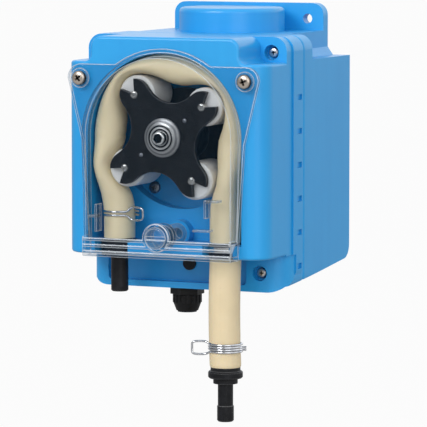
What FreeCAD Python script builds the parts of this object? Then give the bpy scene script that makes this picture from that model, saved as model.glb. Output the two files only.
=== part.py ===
"""Wall-mounted peristaltic dosing pump, modelled in millimetres.

+Z is up, the front faces -Y and the wall plane is Y = 0. The origin lies on the wall plane,
midway between the two wall-screw holes. Depths are measured back from the front face, and
heights from the rotor axis, which lies rotor_drop below the origin.
"""
import FreeCAD, Part
import Sketcher
import math
import os
import re

os.makedirs("parts", exist_ok=True)
doc = FreeCAD.newDocument("DosingPump")
V = FreeCAD.Vector

# Driving dimensions

SIZES = {
    # housing
    "body_width": 90,
    "body_depth": 92,
    "hole_rise": 5,
    "top_height": 41,
    "block_depth_down": 49,
    "base_tall": 15.5,
    "block_wall": 1.6,
    "setback": 22.5,
    "seam_back": 40,
    "gasket_thick": 0.7,
    "gasket_inset": 1,
    "wall": 2.6,
    "notch_width": 11.7,
    "notch_height": 30.6,
    "notch_round": 3,
    "section_round": 6,
    "rear_edge": 1.5,
    "rear_round": 6,
    "block_round": 8,
    "base_round": 9,
    "block_top_round": 4.5,
    "edge_round": 1.2,
    "rise_start": 26,
    "front_rise": 2.4,
    "bottom_rise": 8.8,
    "rim_to_seam": 2,
    "rim_length": 9.7,
    "rim_proud": 0.7,
    "slot_count": 6,
    "slot_pitch": 14,
    "slot_top": 15.8,
    "slot_length": 6,
    "slot_height": 2.4,
    "slot_in": 7.5,
    "slot_deep": 1.5,
    "recess_left_inset": 9,
    "recess_right_inset": 18,
    "recess_deep": 3.5,
    "recess_lip": 2.6,
    "recess_round": 1.5,
    "chamber_floor": 3,
    # rear shelf, ear and round boss
    "shelf_start": 50,
    "shelf_slope": 2.4,
    "shelf_slope_tall": 3.4,
    "ear_inset": 10.2,
    "ear_root": 3,
    "ear_rise": 6.6,
    "ear_thick": 5,
    "ear_round": 5,
    "wall_hole_spacing": 55,
    "wall_hole_dia": 4.2,
    "boss_dia": 44.8,
    "boss_back": 22.6,
    "boss_rise": 10.2,
    "boss_edge": 2,
    # casing screws
    "casing_screw_dia": 3,
    "casing_head_dia": 4.4,
    "casing_head_deep": 1.6,
    "casing_head_edge": 0.6,
    "screw_tip": 0.6,
    "counterbore_dia": 6.4,
    "counterbore_deep": 3.4,
    "casing_screw_long": 26,
    "top_screw_inset": 6.8,
    "top_screw_down": 6.5,
    "base_screw_inset": 12,
    "base_screw_rise": 7.8,
    # pump chamber
    "chamber_deep": 18,
    "pit_room": 1.3,
    "rotor_room": 1.5,
    "block_floor": 5.5,
    "tube_dia": 13,
    "tube_wall": 2.4,
    "tube_floor_room": 0.954,
    "tube_play": 0.1,
    "squeezed": 5,
    "tube_gap": 0.2,
    "press_reach": 1.7,
    "press_angle": 43,
    "left_press": 4.55,
    "right_press": 2.86,
    "left_bend_drop": 9.75,
    "right_bend_long": 23.4,
    "bend_room": 0.1,
    "leg_side": 24,
    "fit_play": 0.05,
    "part_gap": 0.3,
    # rotor
    "pin_circle": 21.6,
    "rotor_phase": 36.7,
    "roller_dia": 15.8,
    "roller_long": 18.8,
    "roller_edge": 0.8,
    "roller_front": 1.5,
    "pin_dia": 3,
    "pin_proud": 0.5,
    "spider_thick": 2.2,
    "rear_spider_thick": 1.8,
    "lobe_round": 6.6,
    "lobe_mouth": 8.6,
    "web_round": 12.5,
    "hub_dia": 22,
    "centre_dia": 39,
    "shaft_dia": 8,
    "shaft_in_gearbox": 13,
    "shaft_edge": 0.5,
    "cone_dia": 16.2,
    "cone_small_dia": 10.6,
    "cone_edge": 0.5,
    "cone_thick": 2.4,
    "rotor_screw_dia": 3,
    "rotor_head_dia": 5.5,
    "rotor_head_thick": 2.6,
    "rotor_head_edge": 0.4,
    "rotor_screw_deep": 7,
    "rotor_key_dia": 3,
    "rotor_key_deep": 1.5,
    # gearmotor
    "gearbox_width": 42,
    "gearbox_up": 20,
    "gearbox_down": 31,
    "gearbox_long": 16,
    "gearbox_round": 4,
    "gearbox_screw_side": 15.2,
    "gearbox_screw_drop": 22.9,
    "gearbox_screw_dia": 3,
    "gearbox_head_dia": 5,
    "gearbox_head_thick": 1.6,
    "gearbox_head_edge": 0.8,
    "gearbox_edge": 0.8,
    "gearbox_screw_long": 11,
    "motor_dia": 35,
    "motor_drop": 6,
    "motor_long": 35,
    "motor_edge": 1.2,
    "motor_nose_dia": 10,
    "motor_nose_long": 3,
    "seal_dia": 13,
    # circuit board
    "board_side_room": 7.4,
    "board_front_room": 5.3,
    "board_back_room": 5.4,
    "board_thick": 1.6,
    "peg_dia": 5,
    "peg_tall": 3.4,
    "terminal_width": 22,
    "terminal_depth": 10,
    "terminal_tall": 10,
    "terminal_side": 14,
    "terminal_back": 3,
    # clear cover
    "cover_overlap": 1.8,
    "cover_plate": 1.8,
    "cover_front": 8,
    "cover_wall": 1.6,
    "dome_step": 1.6,
    "dome_round": 2.5,
    "dome_draft": 4,
    "box_tall": 8.2,
    "box_round": 1.5,
    "cover_overhang": 0.2,
    "ear_screw_out": 0.6,
    "ear_screw_down": 6.8,
    "cover_ear_round": 5.8,
    "ear_taper_down": 2,
    "cover_rib_proud": 0.6,
    "cover_rib_tall": 0.9,
    "cover_rib_pitch": 2.6,
    "cover_rib_count": 3,
    "cover_rib_rise": 1.4,
    "cover_rib_inset": 1.5,
    "cover_web_up": 0.2,
    "cover_web_down": 0.4,
    "cover_screw_dia": 3,
    "cover_hole_dia": 3.4,
    "cover_head_dia": 6,
    "cover_head_thick": 2,
    "cover_head_crown": 1.3,
    "cover_screw_long": 11,
    "washer_dia": 8.4,
    "washer_thick": 0.8,
    # quarter-turn knob
    "knob_dia": 8.8,
    "knob_rise": 8.4,
    "knob_proud": 1,
    "knob_post_long": 5,
    "knob_wall": 1.3,
    "knob_edge": 0.5,
    "knob_slot_wide": 1.4,
    "knob_slot_deep": 1.6,
    "knob_tip_dia": 4.6,
    "knob_tip_long": 3.6,
    "knob_post_dia": 11,
    # outlet and inlet
    "fitting_step": 1,
    "fitting_sunk": 0.1,
    "fitting_tall": 6.2,
    "barb_long": 11,
    "barb_wall": 1.9,
    "barb_point": 0.8,
    "barb_room": 0.2,
    "stem_edge": 0.5,
    "outlet_stem_dia": 7.2,
    "outlet_stem_long": 15.2,
    "connector_step": 0.2,
    "connector_proud": 0.2,
    "connector_tall": 5.8,
    "ring_tall": 2.2,
    "ring_thick": 0.5,
    "ring_drop": 1,
    "tube_lift": 0.9,
    "hose_long": 45,
    "lower_neck_tall": 1.6,
    "lower_neck_in": 1,
    "lower_flange_tall": 3,
    "lower_flange_step": 0.65,
    "lower_collar_dia": 10.1,
    "lower_collar_tall": 2.2,
    "lower_stem_dia": 6.3,
    "lower_stem_long": 15.8,
    "lower_sleeve_dia": 6.9,
    "lower_sleeve_long": 6.5,
    "clamp_wire": 1.2,
    "tail_wire": 1.08,
    "bridge_wire": 0.9,
    "clamp_gap": 1.2,
    "outlet_clamp_rise": 10.4,
    "inlet_clamp_rise": 8.1,
    "clamp_tail": 5,
    # cable gland and plug
    "gland_side": 4,
    "gland_to_seam": 8,
    "gland_seat_dia": 15.4,
    "gland_thread_dia": 9.6,
    "gland_hex": 12.4,
    "gland_hex_tall": 3.2,
    "gland_nut_dia": 11.6,
    "gland_nut_tall": 7,
    "gland_mouth_dia": 8.4,
    "gland_cable_dia": 6,
    "gland_lip": 0.6,
    "gland_room": 0.6,
    "gland_seal_room": 0.2,
    "gland_nut_edge": 0.6,
    "gland_nut_straight": 3.85,
    "locknut_tall": 2.6,
    "locknut_flats": 13,
    "plug_dia": 4.8,
    "plug_below": 5.2,
    "plug_proud": 1.6,
    "plug_deep": 1,
    "plug_head_out": 0.4,
}

# Sizes that follow from the others

FOLLOWING = {
    "rotor_drop": "top_height + hole_rise",
    "base_depth_down": "block_depth_down + base_tall",
    "cavity_down": "block_depth_down - block_wall",
    "chamber_down": "block_depth_down - block_floor",
    "track_radius": "pin_circle + roller_dia / 2 + squeezed + tube_play",
    "pit_round": "pin_circle + roller_dia / 2 + pit_room",
    "pit_back": "roller_front + roller_long + part_gap + rear_spider_thick + pin_proud + rotor_room",
    "web_reach": "lobe_round + web_round",
    "flat_half": "sqrt(tube_dia ^ 2 / 2 - squeezed ^ 2 / 4)",
    "tube_plane": "chamber_deep - flat_half - tube_floor_room",
    "tube_bore": "tube_dia - 2 * tube_wall",
    "flow_bore": "tube_bore - 2 * barb_wall",
    "rim_start": "seam_back - rim_to_seam - rim_length",
    "slot_back": "rim_start + slot_in",
    "recess_left": "body_width / 2 - recess_left_inset",
    "recess_right": "body_width / 2 - recess_right_inset",
    "ear_width": "body_width - 2 * ear_inset",
    "top_screw_side": "body_width / 2 - top_screw_inset",
    "top_screw_height": "top_height - top_screw_down",
    "base_screw_side": "body_width / 2 - base_screw_inset",
    "base_screw_drop": "base_depth_down - base_screw_rise",
    "board_width": "body_width - 2 * wall - 2 * board_side_room",
    "board_back": "seam_back + gasket_thick + board_front_room",
    "board_depth": "body_depth - board_back - wall - board_back_room",
    "cover_half": "track_radius + cover_overlap",
    "dome_half": "cover_half - dome_step",
    "cover_down": "block_depth_down + cover_overhang",
    "box_top": "cover_down - box_tall",
    "ear_screw_side": "cover_half + ear_screw_out",
    "ear_screw_height": "notch_height - ear_screw_down",
    "knob_drop": "block_depth_down - knob_rise",
    "knob_back": "chamber_deep - knob_post_long",
    "fitting_flats": "tube_dia + 2 * fitting_step",
    "fitting_top": "chamber_down + fitting_sunk",
    "outlet_stem_down": "fitting_top + fitting_tall + outlet_stem_long",
    "connector_dia": "tube_dia + 2 * connector_step",
    "connector_top": "chamber_down - connector_proud",
    "lower_flange_dia": "tube_dia + 2 * lower_flange_step",
    "lower_neck_dia": "lower_flange_dia - 2 * lower_neck_in",
    "tube_end": "chamber_down - tube_lift",
    "outlet_clamp_drop": "tube_end - outlet_clamp_rise",
    "left_bend_long": "outlet_clamp_drop - clamp_wire - clamp_gap / 2 - bend_room - left_bend_drop",
    "inlet_clamp_drop": "connector_top + connector_tall + hose_long - inlet_clamp_rise",
    "gland_back": "seam_back - gland_to_seam",
    "plug_drop": "block_depth_down + plug_below",
}

sheet = doc.addObject("Spreadsheet::Sheet", "Sizes")
for row, word in enumerate([*SIZES, *FOLLOWING], start=1):
    sheet.set(f"A{row}", word)
    sheet.setAlias(f"B{row}", word)
    sheet.set(f"B{row}", str(SIZES[word]) if word in SIZES else f"={FOLLOWING[word]}")
doc.recompute()

WORD = re.compile("[a-z]+(?:_[a-z]+)*")


def bound(text):
    """The expression text with each size word pointed at its cell."""
    cells = {**SIZES, **FOLLOWING}
    return WORD.sub(lambda match: f"Sizes.{match[0]}" if match[0] in cells else match[0], text)


def number(text):
    """The value of an expression of size words."""
    return float(sheet.evalExpression(bound(str(text))))


# Shared places, as expressions of the sizes

ROTOR = "(-rotor_drop)"
FRONT = "(-body_depth)"
TOP = "(top_height - rotor_drop)"
SIDE = "(body_width / 2)"
NOTCH_SIDE = "(body_width / 2 - notch_width)"
NOTCH_FLOOR = "(notch_height - rotor_drop)"
BLOCK_BOTTOM = "(-block_depth_down - rotor_drop)"
BASE_BOTTOM = "(-base_depth_down - rotor_drop)"
TUBE_Y = "(tube_plane - body_depth)"
REAR_START = "(seam_back + gasket_thick)"
SHELF_SIDE = "(ear_width / 2)"


def below(drop):
    """A height that lies this far below the rotor axis."""
    return f"(-rotor_drop - ({drop}))"


def behind(depth):
    """The Y of a plane this far behind the front face."""
    return f"({depth} - body_depth)"


def bottom_at(depth):
    """The height of the rising underside at this depth."""
    slope = "(bottom_rise - front_rise) / (body_depth - rise_start)"
    return f"({BASE_BOTTOM} + front_rise + ({depth} - rise_start) * {slope})"


# Modelling helpers

def new_body(label):
    """A body whose label names its file."""
    body = doc.addObject("PartDesign::Body", label)
    body.Label = label
    return body


def new_sketch(body, role, offset, loops):
    """A sketch on one of the body's origin planes, with every point bound to the sheet."""
    sketch = body.newObject("Sketcher::SketchObject", f"{body.Label}_sketch")
    plane = [item for item in body.Origin.OriginFeatures if item.Role == role][0]
    sketch.AttachmentSupport = [(plane, "")]
    sketch.MapMode = "FlatFace"
    sketch.setExpression(".AttachmentOffset.Base.z", bound(offset))
    for loop in loops:
        if loop[0] == "circle":
            add_circle(sketch, *loop[1:])
        else:
            add_outline(sketch, loop)
    return sketch


def pin_point(sketch, index, position, across, up):
    """Fixes a point of the sketch at the bound coordinates."""
    for kind, text in (("DistanceX", across), ("DistanceY", up)):
        made = sketch.addConstraint(Sketcher.Constraint(kind, -1, 1, index, position, number(text)))
        sketch.setExpression(f"Constraints[{made}]", bound(str(text)))


def pin_radius(sketch, index, radius):
    """Fixes the radius of an arc or circle of the sketch."""
    made = sketch.addConstraint(Sketcher.Constraint("Radius", index, number(radius)))
    sketch.setExpression(f"Constraints[{made}]", bound(str(radius)))


def add_circle(sketch, across, up, radius):
    """A circle with its centre and radius bound."""
    centre = V(number(across), number(up), 0)
    index = sketch.addGeometry(Part.Circle(centre, V(0, 0, 1), number(radius)), False)
    pin_point(sketch, index, 3, across, up)
    pin_radius(sketch, index, radius)


def add_outline(sketch, points):
    """A closed outline of lines and arcs.

    A point is (across, up), or (across, up, radius, side) where an arc runs to the next point:
    side 1 has its centre on the left of the way there, and side -1 on the right.
    """
    ends = []
    for here, after in zip(points, points[1:] + points[:1]):
        start = V(number(here[0]), number(here[1]), 0)
        end = V(number(after[0]), number(after[1]), 0)
        if len(here) == 2:
            index = sketch.addGeometry(Part.LineSegment(start, end), False)
        else:
            radius = number(here[2])
            middle = (start + end) * 0.5
            across = end - start
            left = V(-across.y, across.x, 0).normalize() * here[3]
            centre = middle + left * math.sqrt(radius ** 2 - (across.Length / 2) ** 2)
            apex = centre - left * radius
            first, last = (start, end) if here[3] > 0 else (end, start)
            index = sketch.addGeometry(Part.Arc(first, apex, last), False)
        turned_back = len(here) == 4 and here[3] < 0
        ends.append((index, 2, 1) if turned_back else (index, 1, 2))
    for (index, first, last), (following, head, tail) in zip(ends, ends[1:] + ends[:1]):
        sketch.addConstraint(Sketcher.Constraint("Coincident", index, last, following, head))
    for point, (index, first, last) in zip(points, ends):
        pin_point(sketch, index, first, point[0], point[1])
        if len(point) == 4:
            pin_radius(sketch, index, point[2])


def front_sketch(body, depth, *loops):
    """A sketch seen from the front, this far behind the front face."""
    return new_sketch(body, "XZ_Plane", f"body_depth - ({depth})", loops)


def plan_sketch(body, height, *loops):
    """A sketch seen from above, at this height."""
    return new_sketch(body, "XY_Plane", height, loops)


def side_sketch(body, place, *loops):
    """A sketch seen from the side, across is Y and up is Z."""
    return new_sketch(body, "YZ_Plane", place, loops)


def box(left, right, low, high):
    """A rectangular outline."""
    return [(left, low), (right, low), (right, high), (left, high)]


def rounded(left, right, low, high, radius):
    """A rectangular outline with round corners."""
    return [
        (f"{left} + {radius}", low), (f"{right} - {radius}", low, radius, 1),
        (right, f"{low} + {radius}"), (right, f"{high} - {radius}", radius, 1),
        (f"{right} - {radius}", high), (f"{left} + {radius}", high, radius, 1),
        (left, f"{high} - {radius}"), (left, f"{low} + {radius}", radius, 1),
    ]


def horseshoe(radius, low):
    """A half round over the rotor axis with straight sides down to low."""
    return [
        (f"-({radius})", low), (radius, low), (radius, ROTOR, radius, 1),
        ("0", f"{ROTOR} + ({radius})", radius, 1), (f"-({radius})", ROTOR),
    ]


def grow(body, kind, sketch, length, flip):
    """A pad or a pocket of a bound length, checked to have changed the solid."""
    before = 0.0 if body.Tip is None else body.Tip.Shape.Volume
    feature = body.newObject(f"PartDesign::{kind}", f"{body.Label}_{kind.lower()}")
    feature.Profile = sketch
    feature.setExpression("Length", bound(length))
    feature.Reversed = flip
    sketch.Visibility = False
    doc.recompute()
    change = feature.Shape.Volume - before
    if (change > 0.001) != (kind == "Pad") or abs(change) < 0.001:
        raise RuntimeError(f"{body.Label}: the {kind.lower()} {feature.Name} changed nothing")
    return feature


def pad(body, sketch, length, flip=False):
    return grow(body, "Pad", sketch, length, flip)


def pocket(body, sketch, length, flip=False):
    return grow(body, "Pocket", sketch, length, flip)


def turn(body, sketch):
    """A full revolution of the sketch about its upright axis."""
    feature = body.newObject("PartDesign::Revolution", f"{body.Label}_turn")
    feature.Profile = sketch
    feature.ReferenceAxis = (sketch, ["V_Axis"])
    feature.Angle = 360
    sketch.Visibility = False
    doc.recompute()
    return feature


def edges(feature, test):
    """The names of the feature's edges whose middle point and box pass the test."""
    found = []
    for index, edge in enumerate(feature.Shape.Edges, start=1):
        middle = edge.valueAt((edge.FirstParameter + edge.LastParameter) / 2)
        if test(edge, middle):
            found.append(f"Edge{index}")
    return found


def dress(body, kind, feature, names, size):
    """A fillet or chamfer of a bound size on the named edges."""
    if not names:
        raise RuntimeError(f"{body.Label}: no edges found for a {kind.lower()}")
    dressed = body.newObject(f"PartDesign::{kind}", f"{body.Label}_{kind.lower()}")
    dressed.Base = (feature, names)
    dressed.setExpression("Radius" if kind == "Fillet" else "Size", bound(size))
    doc.recompute()
    if dressed.Shape.isNull():
        raise RuntimeError(f"{body.Label}: {dressed.Name} did not build")
    return dressed


def near(value, text):
    """True where the value equals the expression."""
    return abs(value - number(text)) < 0.01


def place(item, across="0", back="0", up="0", rotation=None):
    """Puts an object at a bound place."""
    where = V(number(across), number(back), number(up))
    item.Placement = FreeCAD.Placement(where, rotation or FreeCAD.Rotation())
    for axis, text in (("x", across), ("y", back), ("z", up)):
        item.setExpression(f".Placement.Base.{axis}", bound(str(text)))


TO_BACK = FreeCAD.Rotation(V(1, 0, 0), -90)


def cylinder(label, radius, length, across, back, up, rotation=None):
    """A plain cylinder, up the Z axis unless it is turned."""
    item = doc.addObject("Part::Cylinder", label)
    item.Label = label
    item.setExpression("Radius", bound(radius))
    item.setExpression("Height", bound(length))
    place(item, across, back, up, rotation)
    return item


def combine(kind, label, base, tool):
    """A cut or fuse of two objects under a label of its own."""
    item = doc.addObject(f"Part::{kind}", label)
    item.Label = label
    item.Base = base
    item.Tool = tool
    return item


def turned(label, profile, across, back, up, rotation=None):
    """A body revolved about its own upright axis and put in place."""
    body = new_body(label)
    turn(body, new_sketch(body, "XZ_Plane", "0", [profile]))
    place(body, across, back, up, rotation)
    return body


def tube_profile(bore, radius, low, high):
    """The half section of a plain ring."""
    return [(bore, low), (radius, low), (radius, high), (bore, high)]


# Housing

SCREWS = [
    ("top_screw_side", "top_screw_height - rotor_drop"),
    ("-top_screw_side", "top_screw_height - rotor_drop"),
    ("base_screw_side", "-base_screw_drop - rotor_drop"),
    ("-base_screw_side", "-base_screw_drop - rotor_drop"),
]


def cavity_outline():
    """The inside of both casings, with solid corners where the upper screws go."""
    side = "(body_width / 2 - wall)"
    inner = f"({NOTCH_SIDE} - wall)"
    shoulder = f"({NOTCH_FLOOR} - wall)"
    return [
        (f"-{side}", below("cavity_down")), (side, below("cavity_down")), (side, shoulder),
        (inner, shoulder), (inner, f"{TOP} - wall"), (f"-{inner}", f"{TOP} - wall"),
        (f"-{inner}", shoulder), (f"-{side}", shoulder),
    ]


def slope_tool(start, end):
    """The wedge below the rising underside between two depths."""
    return [
        (behind(start), f"{BASE_BOTTOM} - 5"), (behind(end), f"{BASE_BOTTOM} - 5"),
        (behind(end), bottom_at(end)), (behind(start), bottom_at(start)),
    ]


def front_slope_tool():
    """The wedge below the underside from the base's front face to the seam."""
    start, *rest = slope_tool("rise_start", "seam_back + 1")
    return [(behind("setback"), start[1]), *rest, (behind("setback"), BASE_BOTTOM)]


def make_front_casing():
    body = new_body("front_casing")
    block = front_sketch(body, "0", [
        (f"-{SIDE}", BLOCK_BOTTOM), (SIDE, BLOCK_BOTTOM), (SIDE, NOTCH_FLOOR),
        (NOTCH_SIDE, NOTCH_FLOOR), (NOTCH_SIDE, TOP), (f"-{NOTCH_SIDE}", TOP),
        (f"-{NOTCH_SIDE}", NOTCH_FLOOR), (f"-{SIDE}", NOTCH_FLOOR),
    ])
    last = pad(body, block, "setback", True)
    last = dress(body, "Fillet", last, edges(last, lambda edge, mid: (
        near(abs(mid.x), SIDE) and near(mid.y, FRONT))), "block_round")
    last = dress(body, "Fillet", last, edges(last, lambda edge, mid: (
        near(abs(mid.x), NOTCH_SIDE) and near(mid.z, TOP))), "block_top_round")
    last = dress(body, "Fillet", last, edges(last, lambda edge, mid: (
        near(abs(mid.x), NOTCH_SIDE) and near(mid.z, NOTCH_FLOOR))), "notch_round")
    last = dress(body, "Fillet", last, edges(last, lambda edge, mid: near(mid.y, FRONT)), "edge_round")
    section = rounded(f"-{SIDE}", SIDE, BASE_BOTTOM, TOP, "section_round")
    last = pad(body, front_sketch(body, "setback", section), "seam_back - setback", True)
    rim = rounded(f"(-{SIDE} - rim_proud)", f"({SIDE} + rim_proud)",
                  bottom_at("rim_start + rim_length"), TOP, "section_round")
    last = pad(body, front_sketch(body, "rim_start", rim), "rim_length", True)
    wedge = side_sketch(body, f"-{SIDE} - 5", front_slope_tool())
    last = pocket(body, wedge, "body_width + 10", True)
    gland_place = ("-gland_side", behind("gland_back"))
    seat = plan_sketch(body, BASE_BOTTOM, ("circle", *gland_place, "gland_seat_dia / 2"))
    last = pad(body, seat, "bottom_rise")

    corners = plan_sketch(body, f"{BASE_BOTTOM} - 1", corner_outline("", -1), corner_outline("-", 1))
    last = pocket(body, corners, "base_depth_down - block_depth_down + 1", True)

    # pump chamber, cavity behind it and the seats in its bottom wall
    last = pocket(body, front_sketch(body, "seam_back", cavity_outline()),
                  "seam_back - chamber_deep - chamber_floor", True)
    pit_case = front_sketch(body, "chamber_deep", ("circle", "0", ROTOR, "pit_round + wall"))
    last = pad(body, pit_case, "pit_back + chamber_floor - chamber_deep", True)
    chamber = front_sketch(body, "0", horseshoe("track_radius", below("chamber_down")))
    last = pocket(body, chamber, "chamber_deep")
    last = pocket(body, front_sketch(body, "chamber_deep", ("circle", "0", ROTOR, "pit_round")),
                  "pit_back - chamber_deep")
    post = front_sketch(body, "chamber_deep", ("circle", "0", below("knob_drop"), "knob_post_dia / 2"))
    last = pad(body, post, "chamber_deep - knob_back - part_gap")
    knob_room = front_sketch(body, "0", ("circle", "0", below("knob_drop"), "knob_dia / 2 + part_gap"))
    last = pocket(body, knob_room, "knob_back")
    seats = plan_sketch(
        body, f"{BLOCK_BOTTOM} - 1",
        seat_outline("-leg_side", "fitting_flats / 2 + fit_play"),
        seat_outline("leg_side", "connector_dia / 2 + fit_play"))
    last = pocket(body, seats, "block_depth_down - chamber_down + 2", True)

    # holes seen from the front
    holes = [("circle", side, height, "casing_screw_dia / 2 + fit_play") for side, height in SCREWS]
    last = pocket(body, front_sketch(body, "setback", *holes), "seam_back - setback")
    wells = [("circle", side, height, "counterbore_dia / 2") for side, height in SCREWS]
    last = pocket(body, front_sketch(body, "setback", *wells), "counterbore_deep")
    cover_holes = [("circle", f"{sign}ear_screw_side", "ear_screw_height - rotor_drop", "cover_screw_dia / 2")
                   for sign in ("", "-")]
    last = pocket(body, front_sketch(body, "0", *cover_holes), "cover_screw_long")
    floor_holes = [("circle", f"{sign}gearbox_screw_side", below("gearbox_screw_drop"),
                    "gearbox_screw_dia / 2") for sign in ("", "-")]
    floor_holes.append(("circle", "0", ROTOR, "seal_dia / 2"))
    last = pocket(body, front_sketch(body, "pit_back", *floor_holes), "chamber_floor")
    tip = front_sketch(body, "knob_back", ("circle", "0", below("knob_drop"), "knob_tip_dia / 2 + fit_play"))
    last = pocket(body, tip, "knob_tip_long + part_gap")

    # front of the base, with its shallow recess, the plug's hole and the gland's hole
    recess = rounded("(-recess_left)", "recess_right", f"({BASE_BOTTOM} + recess_lip)",
                     f"({BLOCK_BOTTOM} - 1)", "recess_round")
    last = pocket(body, front_sketch(body, "setback", recess), "recess_deep")
    plug = front_sketch(body, "setback + recess_deep", ("circle", "0", below("plug_drop"), "plug_dia / 2"))
    last = pocket(body, plug, "plug_deep")
    gland = plan_sketch(body, BASE_BOTTOM, ("circle", *gland_place, "gland_thread_dia / 2"))
    last = pocket(body, gland, "base_depth_down - cavity_down", True)

    # a row of slots down each side of the rim
    for sign in ("", "-"):
        height = "slot_top - rotor_drop"
        slot = box(behind("slot_back - slot_length / 2"), behind("slot_back + slot_length / 2"),
                   f"{height} - slot_height / 2", f"{height} + slot_height / 2")
        sketch = side_sketch(body, f"{sign}({SIDE} + rim_proud)", slot)
        cut = pocket(body, sketch, "slot_deep", sign == "-")
        row = body.newObject("PartDesign::LinearPattern", "front_casing_slots")
        row.Originals = [cut]
        row.Direction = (sketch, ["V_Axis"])
        row.Reversed = True
        row.setExpression("Length", bound("slot_pitch * (slot_count - 1)"))
        row.setExpression("Occurrences", bound("slot_count"))
        body.Tip = row
        doc.recompute()
    return body


def corner_outline(sign, hand):
    """What a round corner of the base's front leaves of its square."""
    edge, face = f"{sign}{SIDE}", behind("setback")
    outside = f"{sign}({SIDE} + rim_proud + 1)"
    return [
        (f"{sign}({SIDE} - base_round)", f"{face} - 1"), (outside, f"{face} - 1"),
        (outside, f"{face} + base_round"), (edge, f"{face} + base_round", "base_round", hand),
        (f"{sign}({SIDE} - base_round)", face),
    ]


def seat_outline(side, half):
    """An open-fronted seat with a round back, for a fitting in the chamber's bottom wall."""
    back = TUBE_Y
    return [
        (f"{side} - ({half})", f"{FRONT} - 1"), (f"{side} + ({half})", f"{FRONT} - 1"),
        (f"{side} + ({half})", back, half, 1), (side, f"{back} + ({half})", half, 1),
        (f"{side} - ({half})", back),
    ]


def make_rear_casing():
    body = new_body("rear_casing")
    section = rounded(f"-{SIDE}", SIDE, BASE_BOTTOM, TOP, "section_round")
    last = pad(body, front_sketch(body, REAR_START, section), f"body_depth - {REAR_START}", True)
    wedge = side_sketch(body, f"-{SIDE} - 5", slope_tool("seam_back", "body_depth + 1"))
    last = pocket(body, wedge, "body_width + 10", True)
    back_corners = edges(last, lambda edge, mid: (
        near(abs(mid.x), SIDE) and near(mid.y, "0") and near(edge.BoundBox.YLength, "0")))
    last = dress(body, "Fillet", last, edges(last, lambda edge, mid: (
        near(mid.z, bottom_at("body_depth")) and near(mid.y, "0"))), "rear_round")
    last = dress(body, "Fillet", last, back_corners, "rear_edge")

    # the square shelf cut from each upper rear corner
    shelves = []
    for sign in ("", "-"):
        shelves.append([
            (f"{sign}({SHELF_SIDE} + shelf_slope)", NOTCH_FLOOR), (f"{sign}({SIDE} + 1)", NOTCH_FLOOR),
            (f"{sign}({SIDE} + 1)", f"{TOP} + 1"), (f"{sign}{SHELF_SIDE}", f"{TOP} + 1"),
            (f"{sign}{SHELF_SIDE}", f"{NOTCH_FLOOR} + shelf_slope_tall"),
        ])
    last = pocket(body, front_sketch(body, "shelf_start", *shelves), "body_depth - shelf_start + 1")

    # ear plate and round boss on top
    ear = [
        ("-ear_width / 2", f"{TOP} - ear_root"), ("ear_width / 2", f"{TOP} - ear_root"),
        ("ear_width / 2", "ear_rise - ear_round", "ear_round", 1), ("ear_width / 2 - ear_round", "ear_rise"),
        ("-ear_width / 2 + ear_round", "ear_rise", "ear_round", 1),
        ("-ear_width / 2", "ear_rise - ear_round"),
    ]
    last = pad(body, front_sketch(body, "body_depth", ear), "ear_thick")
    boss_top = f"({TOP} + boss_rise)"
    turn(body, front_sketch(body, "body_depth - boss_back", [
        ("0", f"{TOP} - 1"), ("boss_dia / 2", f"{TOP} - 1"),
        ("boss_dia / 2", f"{boss_top} - boss_edge", "boss_edge", 1), ("boss_dia / 2 - boss_edge", boss_top),
        ("0", boss_top),
    ]))

    # cavity, board pegs, wall holes and screw bores
    last = pocket(body, front_sketch(body, REAR_START, cavity_outline()), f"body_depth - {REAR_START} - wall")
    pegs = []
    for sign in ("", "-"):
        for depth in ("board_back + peg_dia", "board_back + board_depth - peg_dia"):
            pegs.append(("circle", f"{sign}(board_width / 2 - peg_dia)", behind(depth), "peg_dia / 2"))
    last = pad(body, plan_sketch(body, below("cavity_down"), *pegs), "peg_tall")
    wall_holes = [("circle", f"{sign}wall_hole_spacing / 2", "0", "wall_hole_dia / 2") for sign in ("", "-")]
    last = pocket(body, front_sketch(body, "body_depth - ear_thick", *wall_holes), "ear_thick")
    bores = [("circle", side, height, "casing_screw_dia / 2") for side, height in SCREWS]
    last = pocket(body, front_sketch(body, REAR_START, *bores),
                  f"setback + counterbore_deep + casing_screw_long - {REAR_START}")
    return body


def make_gasket():
    body = new_body("casing_gasket")
    outer = rounded(f"(-{SIDE} + gasket_inset)", f"({SIDE} - gasket_inset)",
                    f"({bottom_at('seam_back + gasket_thick')} + gasket_inset)",
                    f"({TOP} - gasket_inset)", "section_round")
    holes = [("circle", side, height, "casing_screw_dia / 2 + fit_play") for side, height in SCREWS]
    pad(body, front_sketch(body, "seam_back", outer, cavity_outline(), *holes), "gasket_thick", True)
    return body


def screw_profile(shank, head, thick, length, crown, curve=False):
    """A pan-head screw upright with its head below Z = 0 and its shank above."""
    edge = (crown, 1) if curve else ()
    return [
        ("0", f"-({thick})"), (f"({head}) / 2 - {crown}", f"-({thick})", *edge),
        (f"({head}) / 2", f"{crown} - ({thick})"), (f"({head}) / 2", "0"),
        (f"({shank}) / 2", "0"), (f"({shank}) / 2", f"({length}) - screw_tip"),
        (f"({shank}) / 2 - screw_tip", length), ("0", length),
    ]


def make_casing_screws():
    for count, (side, height) in enumerate(SCREWS, start=1):
        profile = screw_profile("casing_screw_dia", "casing_head_dia", "casing_head_deep",
                                "casing_screw_long", "casing_head_edge")
        turned(f"casing_screw_{count}", profile, side, behind("setback + counterbore_deep"), height, TO_BACK)


# Clear cover and its fastenings

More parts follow.
